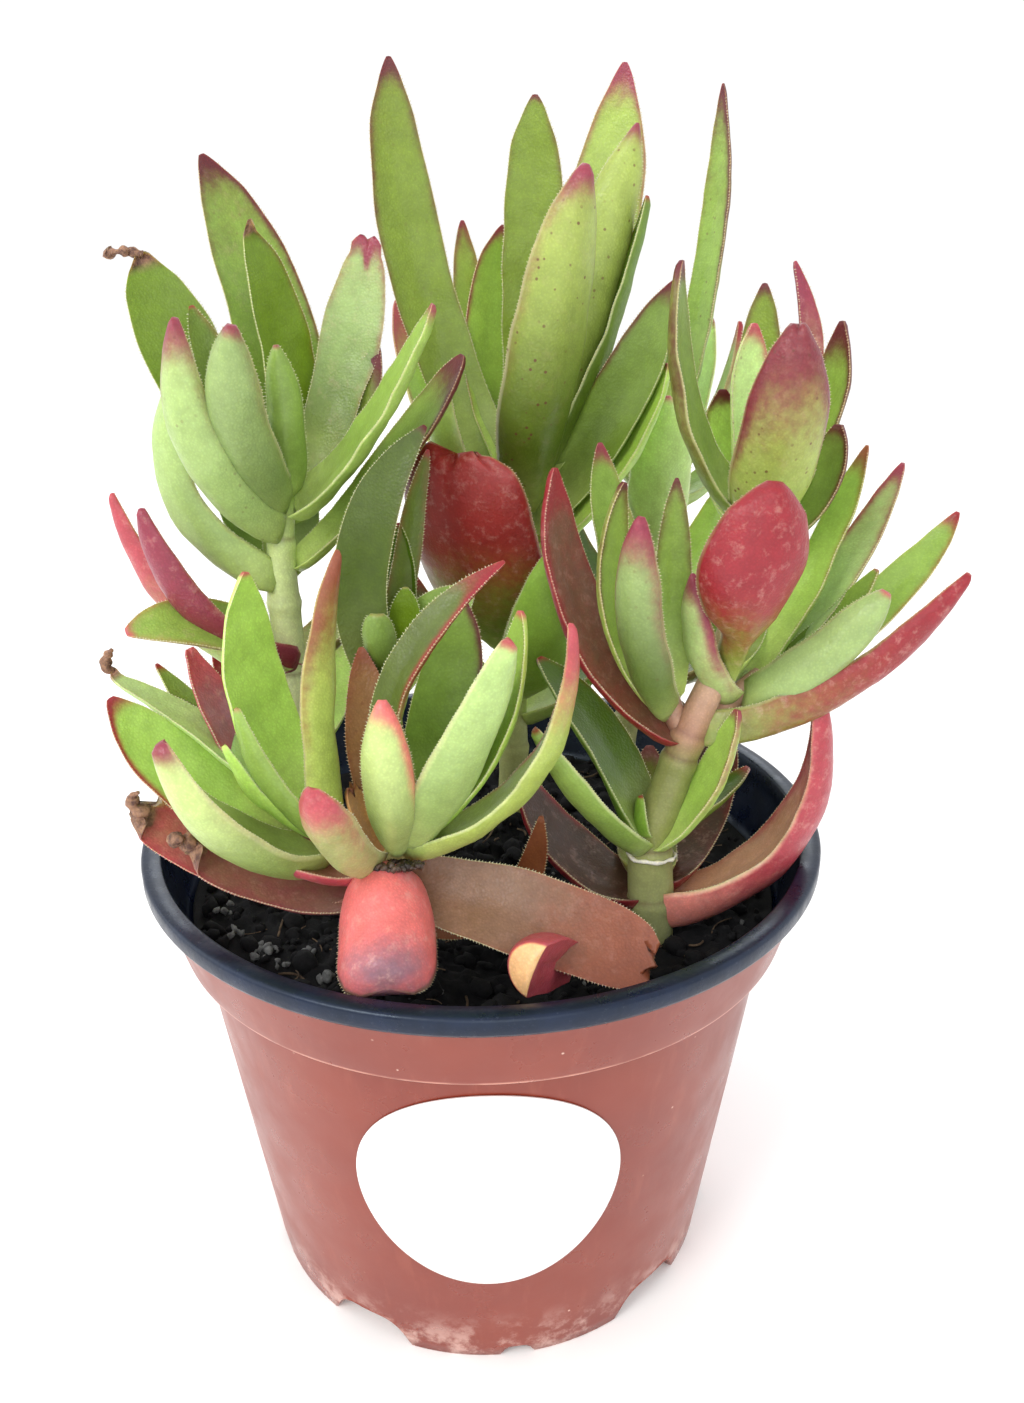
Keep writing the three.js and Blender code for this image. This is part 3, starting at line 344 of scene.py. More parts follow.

# A leaf's paint: the share of its length that blushes from the tip; how strongly its margins
# towards -X and +X blush, over 1 for a broad blush; how light its flesh is, partly its own tone and
# partly painted light on leaves shaded by their neighbours and painted shade on leaves deep in a
# rosette; its scurf; how red its inner and outer faces are; the share of the length, from the stem,
# at which a leaf that is red above turns green; how much deeper green and darker it is near the
# stem, partly its own colour and partly painted shade from the stem and the leaves around it; its
# specks; the share withered at the tip; how pale the toothed margin is; and the share from which the
# red gives way again.
PLAIN = dict(tip=0, low=0, high=0, light=1, scurf=0, inner=0, outer=0, half=0, base=0, specks=0,
             dry=0, rim=1, fade=0)

# Leaves with a split tip: depth of the notch, its place across the leaf, and the tip's share of the width.
NOTCHED = {"a10": (3.8, -0.12, 0.5), "f1": (1.0, 0.2, 0.3), "l9": (1.2, 0.3, 0.3), "r1": (1.6, 0.0, 0.45)}

# Withered ends past a leaf's tip, as steps in millimetres and a radius.
CURLS = {
    "a3": [(0, 0, 0.2, 0.8), (-1.6, -0.5, 0.6, 0.7), (-3.2, -0.8, 0.5, 0.6), (-5.2, -1, 0.9, 0.9)],
    "l7": [(0, 0, 0, 0.7), (-1.2, -0.5, 1.4, 0.8), (-0.6, -0.8, 3, 0.7), (0.6, -0.8, 3.6, 0.5)],
    "k5": [(0, 0, 0, 0.9), (-1.4, -0.6, 1.5, 1.0), (-0.8, -1, 3.4, 0.7), (0.4, -1, 4.2, 0.4)],
    "k4": [(0, 0, 0, 1.2), (-1.8, -0.4, -0.4, 1.3), (-2.6, -1, 1.2, 1.0), (-1.6, -1.6, 2, 0.5)],
}

# Papery rings on the stems: centre, radius, thickness, tilt and colour
COLLARS = {
    "right_stem": [([26.4, -19.1, 83.2], 3.75, 0.3, 0.1, (232, 226, 208))],
    "back_left_stem": [([-32.2, 5, 107.6], 2.9, 0.16, 0.25, (196, 120, 122))],
}

# Crumbly scar on the old cut where the front shoots grow: centre, half sizes and the lean back
SCAR = (-12.7, -36.0, 91.9, 4.0, 1.9, -0.6)
SCAR_LUMPS = 130
SCAR_TONE = (78, 62, 52)

# Stems: colours at heights, and the heights of the rings where pairs of leaves grow
STEM_TONES = {
    "back_left_stem": [(66, (206, 214, 160)), (100, (222, 230, 178)), (137, (188, 208, 130))],
    "front_stem": [(66, (170, 140, 96)), (86, (206, 192, 140)), (98, (190, 206, 126))],
    "middle_stem": [(66, (160, 160, 110)), (92, (170, 180, 110)), (113, (140, 166, 84))],
    "back_centre_stem": [(66, (176, 176, 120)), (100, (176, 190, 120)), (140, (150, 176, 92))],
    "back_right_stem": [(66, (176, 170, 120)), (100, (176, 186, 120)), (138, (160, 182, 100))],
    "right_stem": [(66, (166, 172, 122)), (88, (146, 150, 90)), (99, (138, 142, 84)), (104, (178, 134, 112)),
                   (112, (190, 156, 130)), (136, (186, 196, 120))],
}
STEM_NODES = {
    "back_left_stem": [90, 105, 118, 128],
    "front_stem": [77, 86],
    "middle_stem": [84, 98],
    "back_centre_stem": [84, 97, 110, 121],
    "back_right_stem": [84, 96, 108, 120, 129],
    "right_stem": [75, 83.5, 99, 103],
}

# Gathering geometry

PAINTS = ("red", "specks", "scurf", "dry")
TUBE_ASIDE = (0.31, 0.95, 0.05)


def linear(colour):
    """An sRGB colour from 0 to 255 as linear values from 0 to 1."""
    c = np.asarray(colour, float) / 255
    return np.where(c <= 0.04045, c / 12.92, ((c + 0.055) / 1.055) ** 2.4)


class Build:
    """Points, faces and paint of one piece, gathered in millimetres."""

    def __init__(self):
        self.points = []
        self.faces = []
        self.kinds = []
        self.flesh = []
        self.blush = []
        self.paint = {key: [] for key in PAINTS}
        self.count = 0

    def add(self, points, faces, kind=0, flesh=(1, 1, 1), blush=(1, 0, 0), **paint):
        points = np.asarray(points, float).reshape(-1, 3)
        total = len(points)
        self.points.append(points)
        self.faces.extend([i + self.count for i in face] for face in faces)
        self.kinds.extend([kind] * len(faces))
        self.flesh.append(np.broadcast_to(flesh, (total, 3)))
        self.blush.append(np.broadcast_to(blush, (total, 3)))
        for key in PAINTS:
            self.paint[key].append(np.broadcast_to(paint.get(key, 0.0), (total,)))
        self.count += total

    def piece(self, name, materials, slot, *nodes):
        """The mesh object, riding on the body and standing for its CAD nodes."""
        mesh = bpy.data.meshes.new(name)
        mesh.from_pydata((np.concatenate(self.points) * MM).tolist(), [], self.faces)
        for material in materials:
            mesh.materials.append(material)
        mesh.polygons.foreach_set("material_index", self.kinds)
        mesh.polygons.foreach_set("use_smooth", [True] * len(self.faces))
        for key, rows in (("flesh", self.flesh), ("blush", self.blush)):
            colour = np.concatenate(rows)
            colour = np.concatenate([colour, np.ones((len(colour), 1))], axis=1)
            layer = mesh.attributes.new(key, "FLOAT_COLOR", "POINT")
            layer.data.foreach_set("color", colour.astype(np.float32).ravel())
        for key in PAINTS:
            layer = mesh.attributes.new(key, "FLOAT", "POINT")
            layer.data.foreach_set("value", np.concatenate(self.paint[key]).astype(np.float32))
        skin = bmesh.new()
        skin.from_mesh(mesh)
        bmesh.ops.recalc_face_normals(skin, faces=skin.faces)
        skin.to_mesh(mesh)
        skin.free()
        piece = bpy.data.objects.new(name, mesh)
        bpy.context.scene.collection.objects.link(piece)
        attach(piece, "root")
        if nodes:
            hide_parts(*nodes)
        return piece


def unit(v):
    v = np.asarray(v, float)
    return v / np.linalg.norm(v, axis=-1, keepdims=True)


def dot(a, b):
    return np.sum(a * b, axis=-1, keepdims=True)


def smoothstep(low, high, x):
    t = np.clip((x - low) / (high - low), 0, 1)
    return t * t * (3 - 2 * t)


def blend(a, b, t):
    return a + (b - a) * t


def ripple(points, wavelength, seed, waves=7):
    """A smooth wandering value, about -1 to 1, over an array of points."""
    rng = np.random.default_rng(seed)
    total = np.zeros(points.shape[:-1])
    for _ in range(waves):
        direction = unit(rng.normal(size=3))
        turns = points @ direction / (wavelength * rng.uniform(0.7, 1.6))
        total += np.sin(2 * math.pi * (turns + rng.uniform()))
    return total / math.sqrt(waves)


def smooth_curve(xs, ys, x):
    """Monotone cubic through the points xs, ys."""
    xs, ys = np.asarray(xs, float), np.asarray(ys, float)
    step = np.diff(xs)
    slope = np.diff(ys) / step
    tilt = np.concatenate([slope[:1], np.zeros(len(slope) - 1), slope[-1:]])
    same = slope[:-1] * slope[1:] > 0
    both = slope[:-1] + slope[1:]
    tilt[1:-1][same] = (2 * slope[:-1] * slope[1:])[same] / both[same]
    i = np.clip(np.searchsorted(xs, x) - 1, 0, len(step) - 1)
    t = (x - xs[i]) / step[i]
    rise = ys[i] + t * t * (3 - 2 * t) * (ys[i + 1] - ys[i])
    return rise + step[i] * t * (1 - t) * ((1 - t) * tilt[i] - t * tilt[i + 1])


def skin(rings, first, last):
    """Points and faces of a closed skin over rings of points, with a fan to a point at each end."""
    rows, columns = len(rings), len(rings[0])
    around = [(i, (i + 1) % columns) for i in range(columns)]
    faces = [[j + a, j + b, j + b + columns, j + a + columns]
             for j in range(0, (rows - 1) * columns, columns) for a, b in around]
    end, final = rows * columns, (rows - 1) * columns
    faces += [[end, b, a] for a, b in around]
    faces += [[end + 1, final + a, final + b] for a, b in around]
    return np.concatenate([np.reshape(rings, (-1, 3)), [first, last]]), faces


def ring(r, azimuth, z):
    """Points at a radius round the Z axis."""
    return np.stack([r * np.cos(azimuth), r * np.sin(azimuth), z + 0 * azimuth], axis=1)


def tube(build, path, radii, sides, **paint):
    """A closed tube along a path, capped flat at both ends."""
    path = np.asarray(path, float)
    tangent = unit(np.gradient(path, axis=0))
    right = unit(np.cross(tangent, TUBE_ASIDE))
    back = np.cross(tangent, right)
    angle = np.linspace(0, 2 * math.pi, sides, endpoint=False)
    away = right[:, None] * np.cos(angle)[:, None] + back[:, None] * np.sin(angle)[:, None]
    rings = path[:, None] + away * np.asarray(radii)[:, None, None]
    build.add(*skin(rings, path[0], path[-1]), **paint)


# Leaves

INNER_STEPS = 14
OUTER_STEPS = 16
RING_U = np.concatenate([
    -np.cos(np.linspace(0, math.pi, INNER_STEPS + 1)),
    np.cos(np.linspace(0, math.pi, OUTER_STEPS + 1))[1:-1],
])
RING_OUTER = np.concatenate([np.zeros(INNER_STEPS + 1), np.ones(OUTER_STEPS - 1)])
RING = len(RING_U)
STATION_MM = 1.15
STATION_RANGE = (18, 56)
STATION_CROWDING = 1.3
TOOTH_MM = 0.5
TOOTH_LENGTH = 0.3
TOOTH_R = 0.13
TOOTH_SINK = 0.08
TOOTH_STRAY = 0.12
TOOTH_SIZES = (0.6, 1.15)
TEETH_FROM, TEETH_TO = 0.1, 0.965
MARGIN_BLUSH_MM = 0.75
HALF_REACH = 0.36
RIM_COVER = 0.8
RIM_CLEARS = 0.7
SWELL = 0.16
SWAY = 0.22
CRUMPLE = 1.1
MIDRIB_HALF = 0.22
MIDRIB_DEPTH = 0.05

# Shares of a leaf's length, from the stem, over which each of these sets in or fades
# The deeper green and painted shade near the stem sets in over this span
DEEP_AND_SHADE_SPAN = (0.25, 0.85)
# The pale new growth and painted light near the stem fade over these spans, on inner and then outer faces
YOUNG_AND_PAINTED_LIGHT_INNER = (0.0, 0.42)
YOUNG_AND_PAINTED_LIGHT_OUTER = (0.0, 0.26)
MARGIN_SPAN = (-0.1, 0.75)
RIM_SPAN = (0.04, 0.2)
NOTCH_SPAN = (0.8, 1.0)
JAG_SPAN = (0.86, 1.0)
TORN_SPAN = (0.962, 0.975)


def leaf_width(outline, s):
    """Share of the widest width at shares of the length, from a rounded base to a blunt point."""
    stations = OUTLINES[outline]
    last_s, last_share = stations[-1]
    body = smooth_curve([a for a, _ in stations], [b for _, b in stations], np.minimum(s, last_s))
    end = last_share * np.clip((1 - s) / (1 - last_s), 0, 1) ** TIP_ROUNDING
    base = BASE_SHARE + (1 - BASE_SHARE) * np.sqrt(np.clip(s / BASE_REACH, 0, 1))
    return base * np.where(s > last_s, end, body)


def leaf_lines(root, tip, bow, side, turn, s):
    """Midline points of a leaf, with its tangent, inner face and width directions."""
    root, tip = np.array(root), np.array(tip)
    chord = tip - root
    along = unit(chord)
    lean = unit([-chord[0], -chord[1], 0]) + FACE_LIFT * UP
    lean = unit(lean - along * dot(lean, along))
    across = np.cross(along, lean)
    angle = math.radians(turn)
    face = lean * math.cos(angle) + across * math.sin(angle)
    middle = (root + tip) / 2 - 2 * bow * lean + 2 * side * across
    t = s[:, None]
    centre = (1 - t) ** 2 * root + 2 * t * (1 - t) * middle + t * t * tip
    tangent = unit((1 - t) * (middle - root) + t * (tip - middle))
    up = unit(face - tangent * dot(tangent, face))
    return centre, tangent, up, np.cross(tangent, up)


def leaf_paint(style, s, u, outer, half, low_x_side):
    """Flesh colour and paint values over a leaf's points."""
    inner_tone, outer_tone = (linear(c) for c in COLOURS[style["flesh"]])
    flesh = blend(inner_tone, outer_tone, outer[..., None])
    # Deeper green and darker near the stem: partly the leaf's own colour and partly painted shade from the
    # stem and the leaves around it
    deeper_and_shaded = style["base"] * (1 - smoothstep(*DEEP_AND_SHADE_SPAN, s))
    flesh = blend(flesh, linear(DEEP_BASE_AND_SHADE), deeper_and_shaded[..., None])
    # Paler near the stem: partly pale new growth and partly painted light on the shaded leaf bases, reaching
    # further on the inner faces
    if style["flesh"] not in NOT_GREEN:
        young_and_painted_light = np.where(outer > 0.5, 0.6 * (1 - smoothstep(*YOUNG_AND_PAINTED_LIGHT_OUTER, s)),
                         0.85 * (1 - smoothstep(*YOUNG_AND_PAINTED_LIGHT_INNER, s)))
        flesh = blend(flesh, linear(NEW_GROWTH_AND_PAINTED_LIGHT), young_and_painted_light[..., None])
    # Each leaf's lightness: partly its own tone and partly painted light and painted shade for how much
    # light reaches it among the other leaves
    flesh = flesh * style["light"]
    edge = np.where(u * low_x_side > 0, style["low"], style["high"])
    inset = (1 - np.abs(u)) * half
    breadth = MARGIN_BLUSH_MM * (0.4 + 0.9 * s) * (1 + 2.5 * np.maximum(0, edge - 1))
    margin = np.minimum(edge, 1) * np.exp(-(inset / breadth) ** 2)
    margin = margin * smoothstep(*MARGIN_SPAN, s)
    tip = smoothstep(1 - 1.7 * style["tip"], 1 - 0.2 * style["tip"], s)
    full = np.where(outer > 0.5, style["outer"], style["inner"])
    if style["half"]:
        full = full * smoothstep(style["half"] - HALF_REACH, style["half"] + HALF_REACH, s)
    if style["fade"]:
        gone = smoothstep(style["fade"], 1.1, s)
        full = full * (1 - gone)
        tip = tip * 0
    red = 1 - (1 - np.clip(margin, 0, 1)) * (1 - 0.9 * tip) * (1 - full)
    if style["flesh"] == "peach":
        torn = smoothstep(*TORN_SPAN, s)
        red = red * (1 - torn)
        flesh = blend(flesh, inner_tone, torn[..., None])
    rim = (np.abs(u) > 0.999) * style["rim"] * smoothstep(*RIM_SPAN, s)
    margin_tone = blend(linear(MARGIN_GREEN), linear(MARGIN_RED), np.clip(red, 0, 1)[..., None])
    flesh = blend(flesh, margin_tone, (RIM_COVER * rim)[..., None])
    red = red * (1 - RIM_CLEARS * rim)
    dry = smoothstep(1 - 1.25 * style["dry"], 1 - 0.75 * style["dry"], s) if style["dry"] else 0 * s
    return flesh, dict(red=red, dry=dry, specks=style["specks"] + 0 * s, scurf=style["scurf"] + 0 * s)


def add_leaf(build, line, seed):
    """One leaf, from its line in LEAVES."""
    name, outline, flesh, blush, *numbers = line.split()
    numbers = [float(number) for number in numbers]
    root, tip = numbers[:3], numbers[3:6]
    width, thick, bow, side, turn = numbers[6:11]
    style = {**PLAIN, **dict(zip(PLAIN, numbers[11:])), "flesh": flesh}
    blush = linear(BLUSHES[blush])
    length = float(np.linalg.norm(np.subtract(tip, root)))
    stations = int(np.clip(length / STATION_MM, *STATION_RANGE))
    s = 1 - (1 - np.linspace(0, 1, stations + 1)[:-1]) ** STATION_CROWDING
    centre, tangent, up, out = leaf_lines(root, tip, bow, side, turn, s)
    low_x_side = -1 if out[stations // 2, 0] > 0 else 1
    grid_s = np.repeat(s[:, None], RING, axis=1)
    grid_u = np.repeat(RING_U[None], stations, axis=0)
    grid_outer = np.repeat(RING_OUTER[None], stations, axis=0)

    depth_into_tip = np.zeros_like(grid_s)
    if name in NOTCHED:
        depth, place, _ = NOTCHED[name]
        depth_into_tip += depth * np.exp(-(((grid_u - place * low_x_side) / 0.3) ** 2))
        depth_into_tip *= smoothstep(*NOTCH_SPAN, grid_s)
    if outline == "broken":
        jag = np.sin(grid_u * 5.1 + seed) + 0.6 * np.sin(grid_u * 13 + 2 * seed)
        depth_into_tip += (1.1 + 0.9 * jag) * smoothstep(*JAG_SPAN, grid_s)

    share = leaf_width(outline, s)
    if name in NOTCHED:
        end = NOTCHED[name][2] * (s > 0.85) * np.sqrt(np.clip((1 - s) / 0.04, 0, 1))
        share = np.maximum(share, end)
    half = width * share / 2
    cup = half * (CUP * (1 - 0.5 * s) + CLASP * np.maximum(0, 1 - s / CLASP_REACH) ** 2)
    body = thick * (EDGE_BODY + (1 - EDGE_BODY) * share) * (1 - TIP_THINNING * s * s)
    body = body * np.minimum(1, np.sqrt((1 - s) / 0.03) + 0.05)
    dry = smoothstep(1 - 1.2 * style["dry"], 1.0, s) if style["dry"] else 0 * s
    body = blend(body, 0.5 * np.minimum(1, body), dry)
    cup = cup + dry * half * 0.9
    half = half * (1 - 0.3 * dry)

    spread = grid_u * half[:, None]
    crown = np.sqrt(np.maximum(0, 1 - grid_u ** 2))
    lift = cup[:, None] * grid_u ** 2 - grid_outer * body[:, None] * crown
    middle_line = np.exp(-((grid_u / MIDRIB_HALF) ** 2)) * np.sin(math.pi * np.clip(grid_s * 1.1, 0, 1))
    lift -= MIDRIB_DEPTH * thick * middle_line * np.where(grid_outer > 0.5, 1.0, 1.4)
    points = centre[:, None] + out[:, None] * spread[..., None] + up[:, None] * lift[..., None]
    points -= tangent[:, None] * depth_into_tip[..., None]

    fade = np.sin(math.pi * np.clip(grid_s, 0, 1)) ** 0.5
    swell = SWELL * ripple(points, 9, seed) + 0.05 * ripple(points, 3, seed + 1)
    points += up[:, None] * (swell * fade)[..., None]
    sway = SWAY * ripple(centre[:, None] + out[:, None] * grid_u[..., None] * 4, 13, seed + 2)
    points += out[:, None] * (sway * fade)[..., None]
    if style["dry"]:
        crumple = (CRUMPLE * dry)[:, None]
        points += up[:, None] * (crumple * ripple(points, 4.5, seed + 3))[..., None]
        points += out[:, None] * (crumple * ripple(points, 5.5, seed + 4))[..., None]
        points += tangent[:, None] * (0.6 * crumple * ripple(points, 3.5, seed + 5))[..., None]

    flesh, paint = leaf_paint(style, grid_s, grid_u, grid_outer, half[:, None], low_x_side)
    build.add(
        *skin(points, points[0].mean(0), points[-1].mean(0) + tangent[-1] * 0.1),
        flesh=np.concatenate([flesh.reshape(-1, 3), [flesh[0].mean(0), flesh[-1].mean(0)]]),
        blush=blush,
        **{k: np.concatenate([v.ravel(), [v[0].mean(), v[-1].mean()]]) for k, v in paint.items()},
    )
    if style["rim"] > 0.2 and style["dry"] < 0.5:
        add_teeth(build, style, points, out, tangent, up, paint["red"], blush, s, seed)
    if name in CURLS:
        add_curl(build, points[-1].mean(0) - 0.4 * tangent[-1], CURLS[name], seed)


def add_teeth(build, style, points, out, tangent, up, red, blush, s, seed):
    """Fine pale teeth along both margins of a leaf."""
    rng = np.random.default_rng(seed)
    for column, sign in ((0, -1), (INNER_STEPS, 1)):
        line = points[:, column]
        run = np.concatenate([[0], np.cumsum(np.linalg.norm(np.diff(line, axis=0), axis=1))])
        first, last = np.interp([TEETH_FROM, TEETH_TO - style["dry"]], s, run)
        places = np.arange(first, last, TOOTH_MM)
        places = places + rng.uniform(-TOOTH_STRAY, TOOTH_STRAY, len(places))
        pick = [np.stack([np.interp(places, run, v[:, i]) for i in range(3)], axis=1)
                for v in (line, out, tangent, up)]
        spot, away, ahead, above = pick
        away = unit(away * sign + ahead * 0.35 + above * rng.uniform(-0.25, 0.35, (len(places), 1)))
        size = rng.uniform(*TOOTH_SIZES, (len(places), 1))
        apex = spot + away * TOOTH_LENGTH * size
        foot = spot - away * TOOTH_SINK
        wide = unit(np.cross(away, above)) * TOOTH_R
        high = unit(np.cross(away, wide)) * TOOTH_R
        corners = [foot + wide, foot - 0.5 * wide + 0.87 * high, foot - 0.5 * wide - 0.87 * high, apex]
        block = np.stack(corners, axis=1).reshape(-1, 3)
        faces = []
        for k in range(len(places)):
            a = 4 * k
            faces += [[a, a + 2, a + 1], [a, a + 1, a + 3], [a + 1, a + 2, a + 3], [a + 2, a, a + 3]]
        redness = np.repeat(np.interp(places, run, np.clip(red[:, column] * 1.6, 0, 1)), 4)
        tone = blend(linear(MARGIN_GREEN), linear(MARGIN_RED), redness[:, None])
        build.add(block, faces, flesh=tone, blush=blush, red=0.25 * redness)


def add_curl(build, start, steps, seed):
    """A withered, twisted end past the tip of a leaf."""
    steps = np.asarray(steps, float)
    t = np.linspace(0, len(steps) - 1, 22)
    spine = np.stack([np.interp(t, range(len(steps)), steps[:, i]) for i in range(4)], axis=1)
    path = np.asarray(start) + spine[:, :3]
    path = path + 0.25 * np.stack([ripple(path, 2.5, seed + i) for i in range(3)], axis=1)
    radii = spine[:, 3] * (1 + 0.3 * ripple(path, 1.6, seed + 7))
    radii[-1] *= 0.4
    tube(build, path, radii, 9, flesh=linear(COLOURS["rust"][0]), blush=linear(BLUSHES["wine"]),
         dry=1.0, red=0.3)


def stone():
    """Points and faces of a small round stone of radius 1."""
    mesh = bmesh.new()
    bmesh.ops.create_icosphere(mesh, subdivisions=2, radius=1)
    points = np.array([v.co for v in mesh.verts])
    faces = [[v.index for v in f.verts] for f in mesh.faces]
    mesh.free()
    return points, faces


STONE = stone()


def lay_stone(build, rng, place, size, kind=0, **paint):
    """One rough stone of about the given radius."""
    points, faces = STONE
    shape = points * (1 + 0.22 * ripple(points, 1.3, int(rng.integers(1e6))))[:, None]
    shape = shape * rng.uniform(0.6, 1.2, 3) * size
    turn, lean = rng.uniform(0, 2 * math.pi, 2)
    spin = np.array(Euler((lean, lean * 0.7, turn)).to_matrix())
    build.add(shape @ spin.T + place, faces, kind, **paint)


# Stems


def add_stem(build, name, path, seed):
    """A jointed stem: a smooth tube with a low ring where each pair of leaves grows."""
    path = np.asarray(path, float)
    run = np.concatenate([[0], np.cumsum(np.linalg.norm(np.diff(path[:, :3], axis=0), axis=1))])
    at = np.linspace(0, run[-1], int(run[-1] / STEM_STEP) + 2)
    line = np.stack([smooth_curve(run, path[:, i], at) for i in range(4)], axis=1)
    heights = line[:, 2]
    radii = line[:, 3].copy()
    groove = np.zeros_like(radii)
    for z in STEM_NODES[name]:
        radii += 0.28 * np.exp(-(((heights - z) / 1.1) ** 2))
        groove += np.exp(-(((heights - z - 1.2) / 0.35) ** 2))
    radii -= 0.12 * groove
    radii *= 1 + 0.02 * ripple(line[:, :3], 7, seed)
    stops = STEM_TONES[name]
    tones = np.array([linear(tone) for _, tone in stops])
    flesh = np.stack([np.interp(heights, [z for z, _ in stops], tones[:, i]) for i in range(3)], axis=1)
    flesh = flesh * (1 - 0.25 * np.clip(groove, 0, 1))[:, None]
    flesh = np.concatenate([np.repeat(flesh, STEM_SIDES, axis=0), flesh[:1], flesh[-1:]])
    blush_amount = 0.35 * np.clip(groove, 0, 1)
    blush_amount = np.concatenate([np.repeat(blush_amount, STEM_SIDES), [0, 0]])
    tube(build, line[:, :3], radii, STEM_SIDES, flesh=flesh, blush=linear(BLUSHES["mauve"]),
         red=blush_amount, scurf=0.12)


def add_collar(build, centre, radius, wire, tilt, seed, **paint):
    """A rough ring around a stem."""
    angle = np.linspace(0, 2 * math.pi, 40)
    path = radius * ring(1.0, angle, tilt * np.cos(angle + 2))
    path = path + centre + 0.12 * np.stack([ripple(path, 2.0, seed + i) for i in range(3)], axis=1)
    path[-1] = path[0]
    tube(build, path, wire * (1 + 0.35 * ripple(path, 1.4, seed + 4)), 8, **paint)


def add_scar(build):
    """The crumbly scar on the old cut where the front shoots grow."""
    rng = np.random.default_rng(5)
    bark = linear(SCAR_TONE)
    x, y, z, across, deep, rise = SCAR
    for k in range(SCAR_LUMPS):
        angle = 2.4 * k
        out = math.sqrt(1 - 0.85 * k / SCAR_LUMPS)
        right, back = out * math.cos(angle), out * math.sin(angle)
        lump = [x + across * right, y + deep * back, z + rise * back]
        lay_stone(build, rng, np.add(lump, rng.uniform(-0.25, 0.25, 3)), rng.uniform(0.35, 0.65), 0,
                  flesh=bark * rng.uniform(0.3, 1.6), blush=bark)


def make_plants(leaf_material):
    for index, name in enumerate(STEMS):
        leaves = Build()
        for k, line in enumerate(LEAVES[name].strip().splitlines()):
            add_leaf(leaves, line, 100 * index + k + 1)
        leaves.piece(name.replace("stem", "leaves"), [leaf_material], "leaf", name)
        stalks = Build()
        for k, path in enumerate(STEMS[name]):
            add_stem(stalks, name, path, 900 + 10 * index + k)
        for centre, radius, wire, tilt, collar in COLLARS.get(name, []):
            add_collar(stalks, centre, radius, wire, tilt, 40 + index, flesh=linear(collar), scurf=0.5)
        if name == "front_stem":
            add_scar(stalks)
        stalks.piece(name.replace("stem", "stalks"), [leaf_material], "leaf", name)


# Pot


def notch_height(azimuth):
    """How high the foot is cut away at an azimuth in degrees."""
    height = 0.0
    for start, span, top in NOTCHES:
        half = BASE_R * math.radians(span / 2)
        away = (azimuth - start + 180 / NOTCH_COUNT) % (360 / NOTCH_COUNT) - 180 / NOTCH_COUNT
        x = abs(BASE_R * math.radians(away))
        foot, shoulder, crown = half + NOTCH_FLARE, half * NOTCH_SHOULDER, half * NOTCH_CROWN
        t = np.linspace(0, 1, 40)
        xs = (1 - t) ** 2 * crown + 2 * t * (1 - t) * shoulder + t * t * foot
        zs = (1 - t) ** 2 * top + 2 * t * (1 - t) * top - t * t * NOTCH_UNDERCUT
        height = max(height, float(np.interp(x, xs, zs, right=0.0)))
    return height


def wall_radius(z):
    return BASE_R + (STEP_R - BASE_R) / (STEP_Z - STEP_RISE) * z


def inner_radius(z):
    return wall_radius(z) - WALL


def subdivided(profile, step):
    """The profile's points with more points between them, each with its kind."""
    rows = []
    for (r0, z0, kind), (r1, z1, _) in zip(profile, profile[1:]):
        count = max(1, int(math.hypot(r1 - r0, z1 - z0) / step))
        rows += [(blend(r0, r1, k / count), blend(z0, z1, k / count), kind) for k in range(count)]
    return rows + [profile[-1]]


